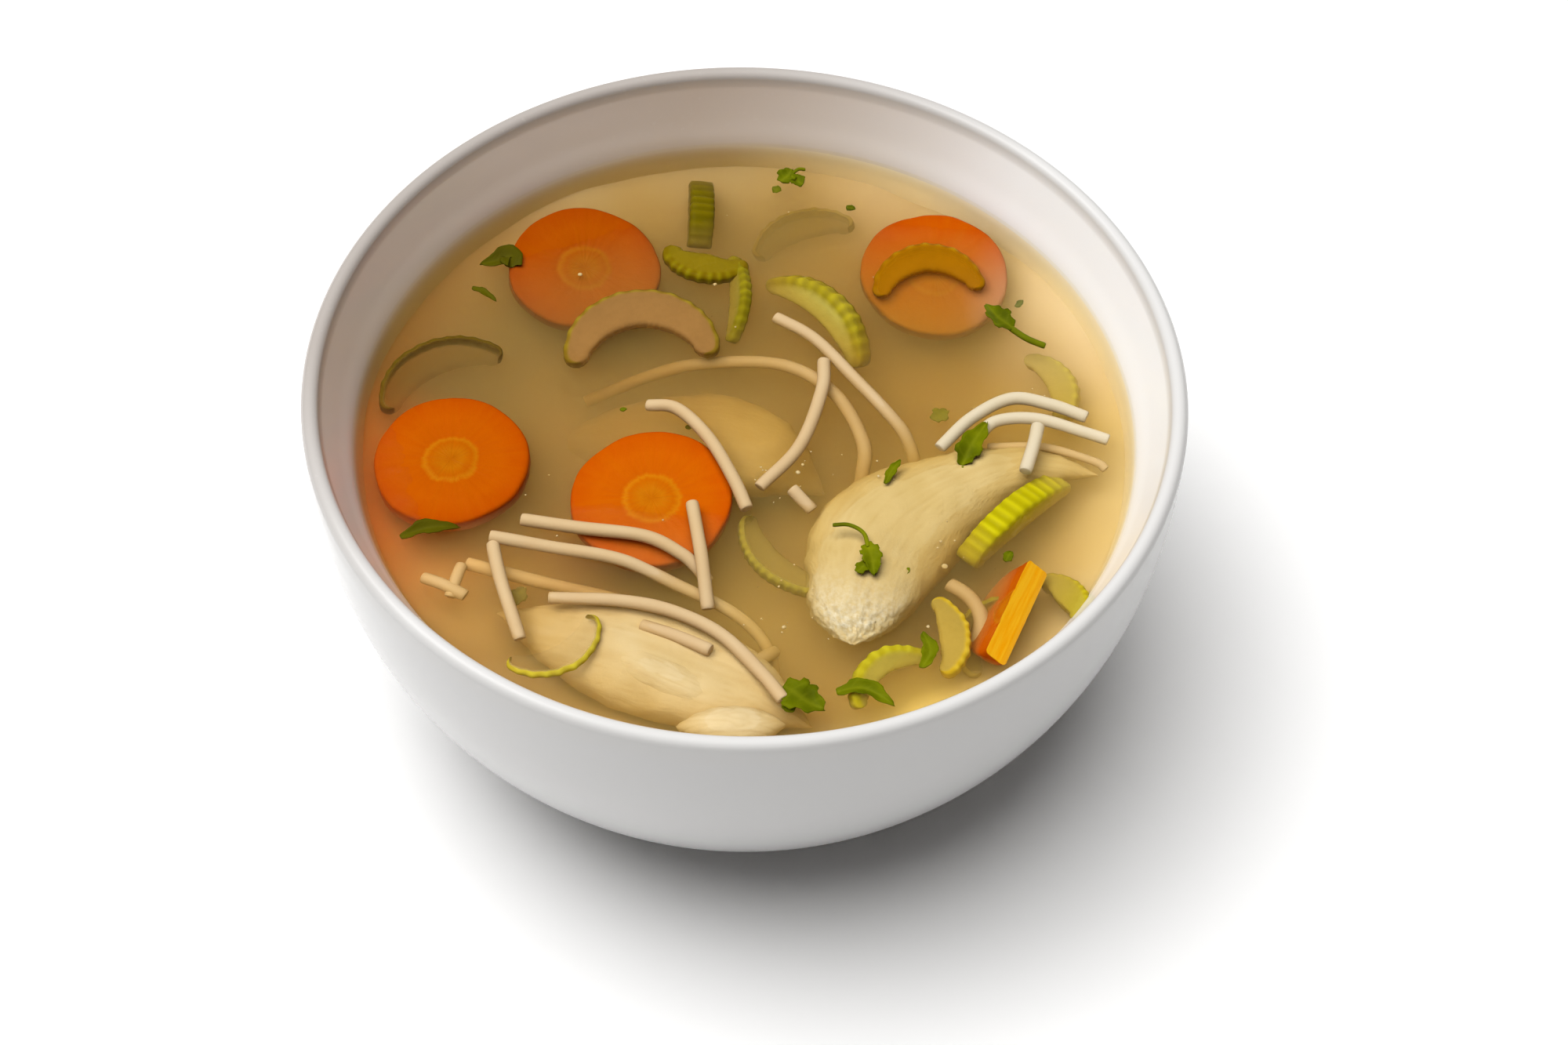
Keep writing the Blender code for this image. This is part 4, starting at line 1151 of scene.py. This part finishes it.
MEAT = chicken_material("poached_chicken", (222, 190, 118), (234, 204, 136), (240, 214, 152))
PALE_MEAT = chicken_material("poached_chicken_pale", (232, 204, 146), (244, 218, 166), (252, 232, 188))
for name, (knots, lumps, seed) in CHICKEN.items():
    torn = {"chicken_piece_1": (0.0, 0.24), "chicken_piece_3": None}.get(name)
    v, f, fib, tr = chunk_shape(knots, lumps, seed, torn_end=torn, fibres=0.12, blunt=9.0 if torn else 3.0)
    floating.append(piece(name + "_meat", v, f, MEAT if torn else PALE_MEAT, (name,), attrs={"fibre": fib, "torn": tr}))
SUNK_CHICKEN = [
    ([(-36.0, 5.0, -15.0, 5.0, 6.0), (-22.0, 5.0, -10.5, 8.0, 8.0), (-7.0, 2.5, -6.4, 11.0, 9.0),
      (5.0, -2.5, -4.2, 9.0, 9.0), (14.0, -8.0, -8.0, 4.0, 7.0)], 0.6, 21.0),
    ([(-41.0, -36.0, -4.0, 4.0, 7.0), (-31.0, -40.5, -1.7, 7.5, 9.0), (-19.0, -45.0, -0.45, 10.5, 10.0),
      (-7.0, -50.0, -0.25, 10.0, 10.0), (3.0, -54.5, -0.3, 8.0, 9.0), (12.0, -59.0, -2.6, 3.5, 7.0)], 0.5, 27.0),
]
for k, (knots, lumps, seed) in enumerate(SUNK_CHICKEN, 1):
    v, f, fib, tr = chunk_shape(knots, lumps, seed, along=110, around=90, fibres=0.16)
    piece("chicken_sunk_%d" % k, v, f, PALE_MEAT if k == 2 else MEAT, attrs={"fibre": fib, "torn": tr})

STRAND = noodle_material("wheat_noodle", seen(226, 190, 138), seen(236, 208, 164))
# painted light: a lighter copy of the noodle material for the strands on the right, near the lit wall
LIT_STRANDS = noodle_material("wheat_noodle_painted_lit", seen(238, 220, 182), seen(244, 230, 202))
for k, (name, knots) in enumerate(NOODLES.items(), 1):
    v, f, fl = tube(BEFORE.get(name, []) + knots + BEYOND.get(name, []), NOODLE_R * 0.88, k * 5.1)
    floating.append(piece(name + "_strand", v, f, LIT_STRANDS if 10 <= k <= 12 else STRAND, (name,), attrs={"side": fl}))
v, f, fl = join([tube(knots, r, 80 + i * 3.3, sides=14) for i, (knots, r) in enumerate(SUNK_NOODLES)])
piece("noodles_sunk", v, f, STRAND, attrs={"side": fl})

v, f, vein = join([leaf_shape(*row) for row in LEAVES])
sv, sf, sfl = join([tube(knots, r, 60 + i, sides=10, step=0.4, flat=0.15) for i, (knots, r) in enumerate(STEMS)])
v, f, vein = join([(v, f, vein), (sv, sf, [0.6] * len(sv))])
floating.append(piece("parsley", v, f, herb_material(), attrs={"vein": vein}))



def build_droplets():
    """Small beads of fat and air on the broth."""
    rnd = random.Random(11)
    beads = [(33.8, -28.7, 0.55), (33.2, -23.4, 0.28), (-29.7, 35.0, 0.40), (7.0, -41.8, 0.36), (-5.7, 33.2, 0.34),
             (9.2, -9.1, 0.40), (10.0, -7.4, 0.30), (30.8, -41.2, 0.30), (22.9, -9.6, 0.24)]
    for cx, cy, count, wide in ((9.0, -10.0, 14, 5.0), (31.0, -26.0, 12, 6.0), (5.0, -38.0, 12, 6.0), (0.0, 30.0, 8, 9.0),
                                (44.0, 8.0, 8, 10.0), (-30.0, -8.0, 8, 10.0)):
        for _ in range(count):
            beads.append((cx + rnd.gauss(0, wide), cy + rnd.gauss(0, wide), rnd.uniform(0.10, 0.20)))
    shapes = []
    for x, y, r in beads:
        if math.hypot(x, y) > WALL_AT_LEVEL - 3.0:
            continue
        verts, faces = [], []
        rings = []
        for i in range(5):
            a = math.pi / 2 * i / 4
            rings.append([])
            for k in range(1 if i == 4 else 14):
                t = math.tau * k / 14
                q = r * math.cos(a) * (1 + 0.05 * math.sin(2 * t + x))
                if i == 4:
                    q = 0.0
                rings[-1].append(len(verts))
                verts.append((x + q * math.cos(t), y + q * math.sin(t), LEVEL + 0.02 + 0.55 * r * math.sin(a)))
        for a, b in zip(rings, rings[1:]):
            for k in range(14):
                k2 = (k + 1) % 14
                faces.append((a[k], a[k2], b[0]) if len(b) == 1 else (a[k], a[k2], b[k2], b[k]))
        low = len(verts)
        verts.append((x, y, LEVEL - 0.15))
        faces += [(rings[0][(k + 1) % 14], rings[0][k], low) for k in range(14)]
        shapes.append((verts, faces))
    v, f = join(shapes)
    n = Nodes("fat_beads")
    colour = n.ramp(n.noise(700.0, 2.0), [(0.35, seen(222, 186, 112)), (0.65, seen(246, 224, 172))])
    n.principled(colour, 0.08, Specular_IOR_Level=0.6)
    piece("broth_beads", v, f, n.mat)


build_core()
build_broth(floating)
build_droplets()


# ------------------------------------------------------------------ stage
def build_stage():
    mesh = bpy.data.meshes.new("floor")
    bm = bmesh.new()
    bmesh.ops.create_grid(bm, x_segments=8, y_segments=8, size=2.5)
    bm.to_mesh(mesh)
    bm.free()
    floor = bpy.data.objects.new("floor", mesh)
    bpy.context.scene.collection.objects.link(floor)
    n = Nodes("pale_floor")
    colour = n.mix(n.math("MULTIPLY", n.noise(6.0, 2.0), 0.2), (0.93, 0.93, 0.93), (0.91, 0.91, 0.915))
    n.principled(colour, 0.7)
    mesh.materials.append(n.mat)

    world = bpy.data.worlds.new("studio")
    bpy.context.scene.world = world
    world.use_nodes = True
    bg = world.node_tree.nodes["Background"]
    bg.inputs["Color"].default_value = (1.0, 0.91, 0.82, 1.0)
    bg.inputs["Strength"].default_value = 0.06

    def area(name, azimuth, elevation, distance, size, power, colour=(1, 1, 1)):
        light = bpy.data.lights.new(name, "AREA")
        light.shape = "DISK"
        light.size = size
        light.energy = power
        light.color = colour
        ob = bpy.data.objects.new(name, light)
        bpy.context.scene.collection.objects.link(ob)
        a, e = math.radians(azimuth), math.radians(elevation)
        target = Vector((0, 0, 0.04))
        ob.location = target + Vector((math.cos(e) * math.cos(a), math.cos(e) * math.sin(a), math.sin(e))) * distance
        ob.rotation_euler = (target - ob.location).to_track_quat("-Z", "Y").to_euler()
        return ob

    # the broad light stands behind a polariser, so the broth doesn't mirror it; the small one gives the gloss
    key = area("key", 166, 77, 1.6, 1.90, 46.4, (1.0, 0.998, 0.99))
    key.visible_glossy = False
    area("glint", 166, 61, 1.6, 1.00, 4.65, (1.0, 0.998, 0.99))


build_stage()

cam_data = bpy.data.cameras.new("camera")
cam_data.sensor_width = 36.0
cam_data.lens = 84.996
cam_data.clip_start = 0.01
camera = bpy.data.objects.new("camera", cam_data)
bpy.context.scene.collection.objects.link(camera)
R = Vector((0.9998062, 0.00620088, 0.01868448))
U = Vector((-0.01633517, 0.79101569, 0.61157775))
F = Vector((0.01098739, 0.61176444, -0.79096368))
P = Vector((0.0, -0.401868, 0.550629))
camera.matrix_world = Matrix(((R.x, U.x, -F.x, P.x), (R.y, U.y, -F.y, P.y), (R.z, U.z, -F.z, P.z), (0, 0, 0, 1)))
bpy.context.scene.camera = camera
bpy.context.scene.view_settings.view_transform = "Standard"
bpy.context.scene.view_settings.look = "None"
bpy.context.scene.cycles.volume_bounces = 3

bpy.context.view_layer.update()
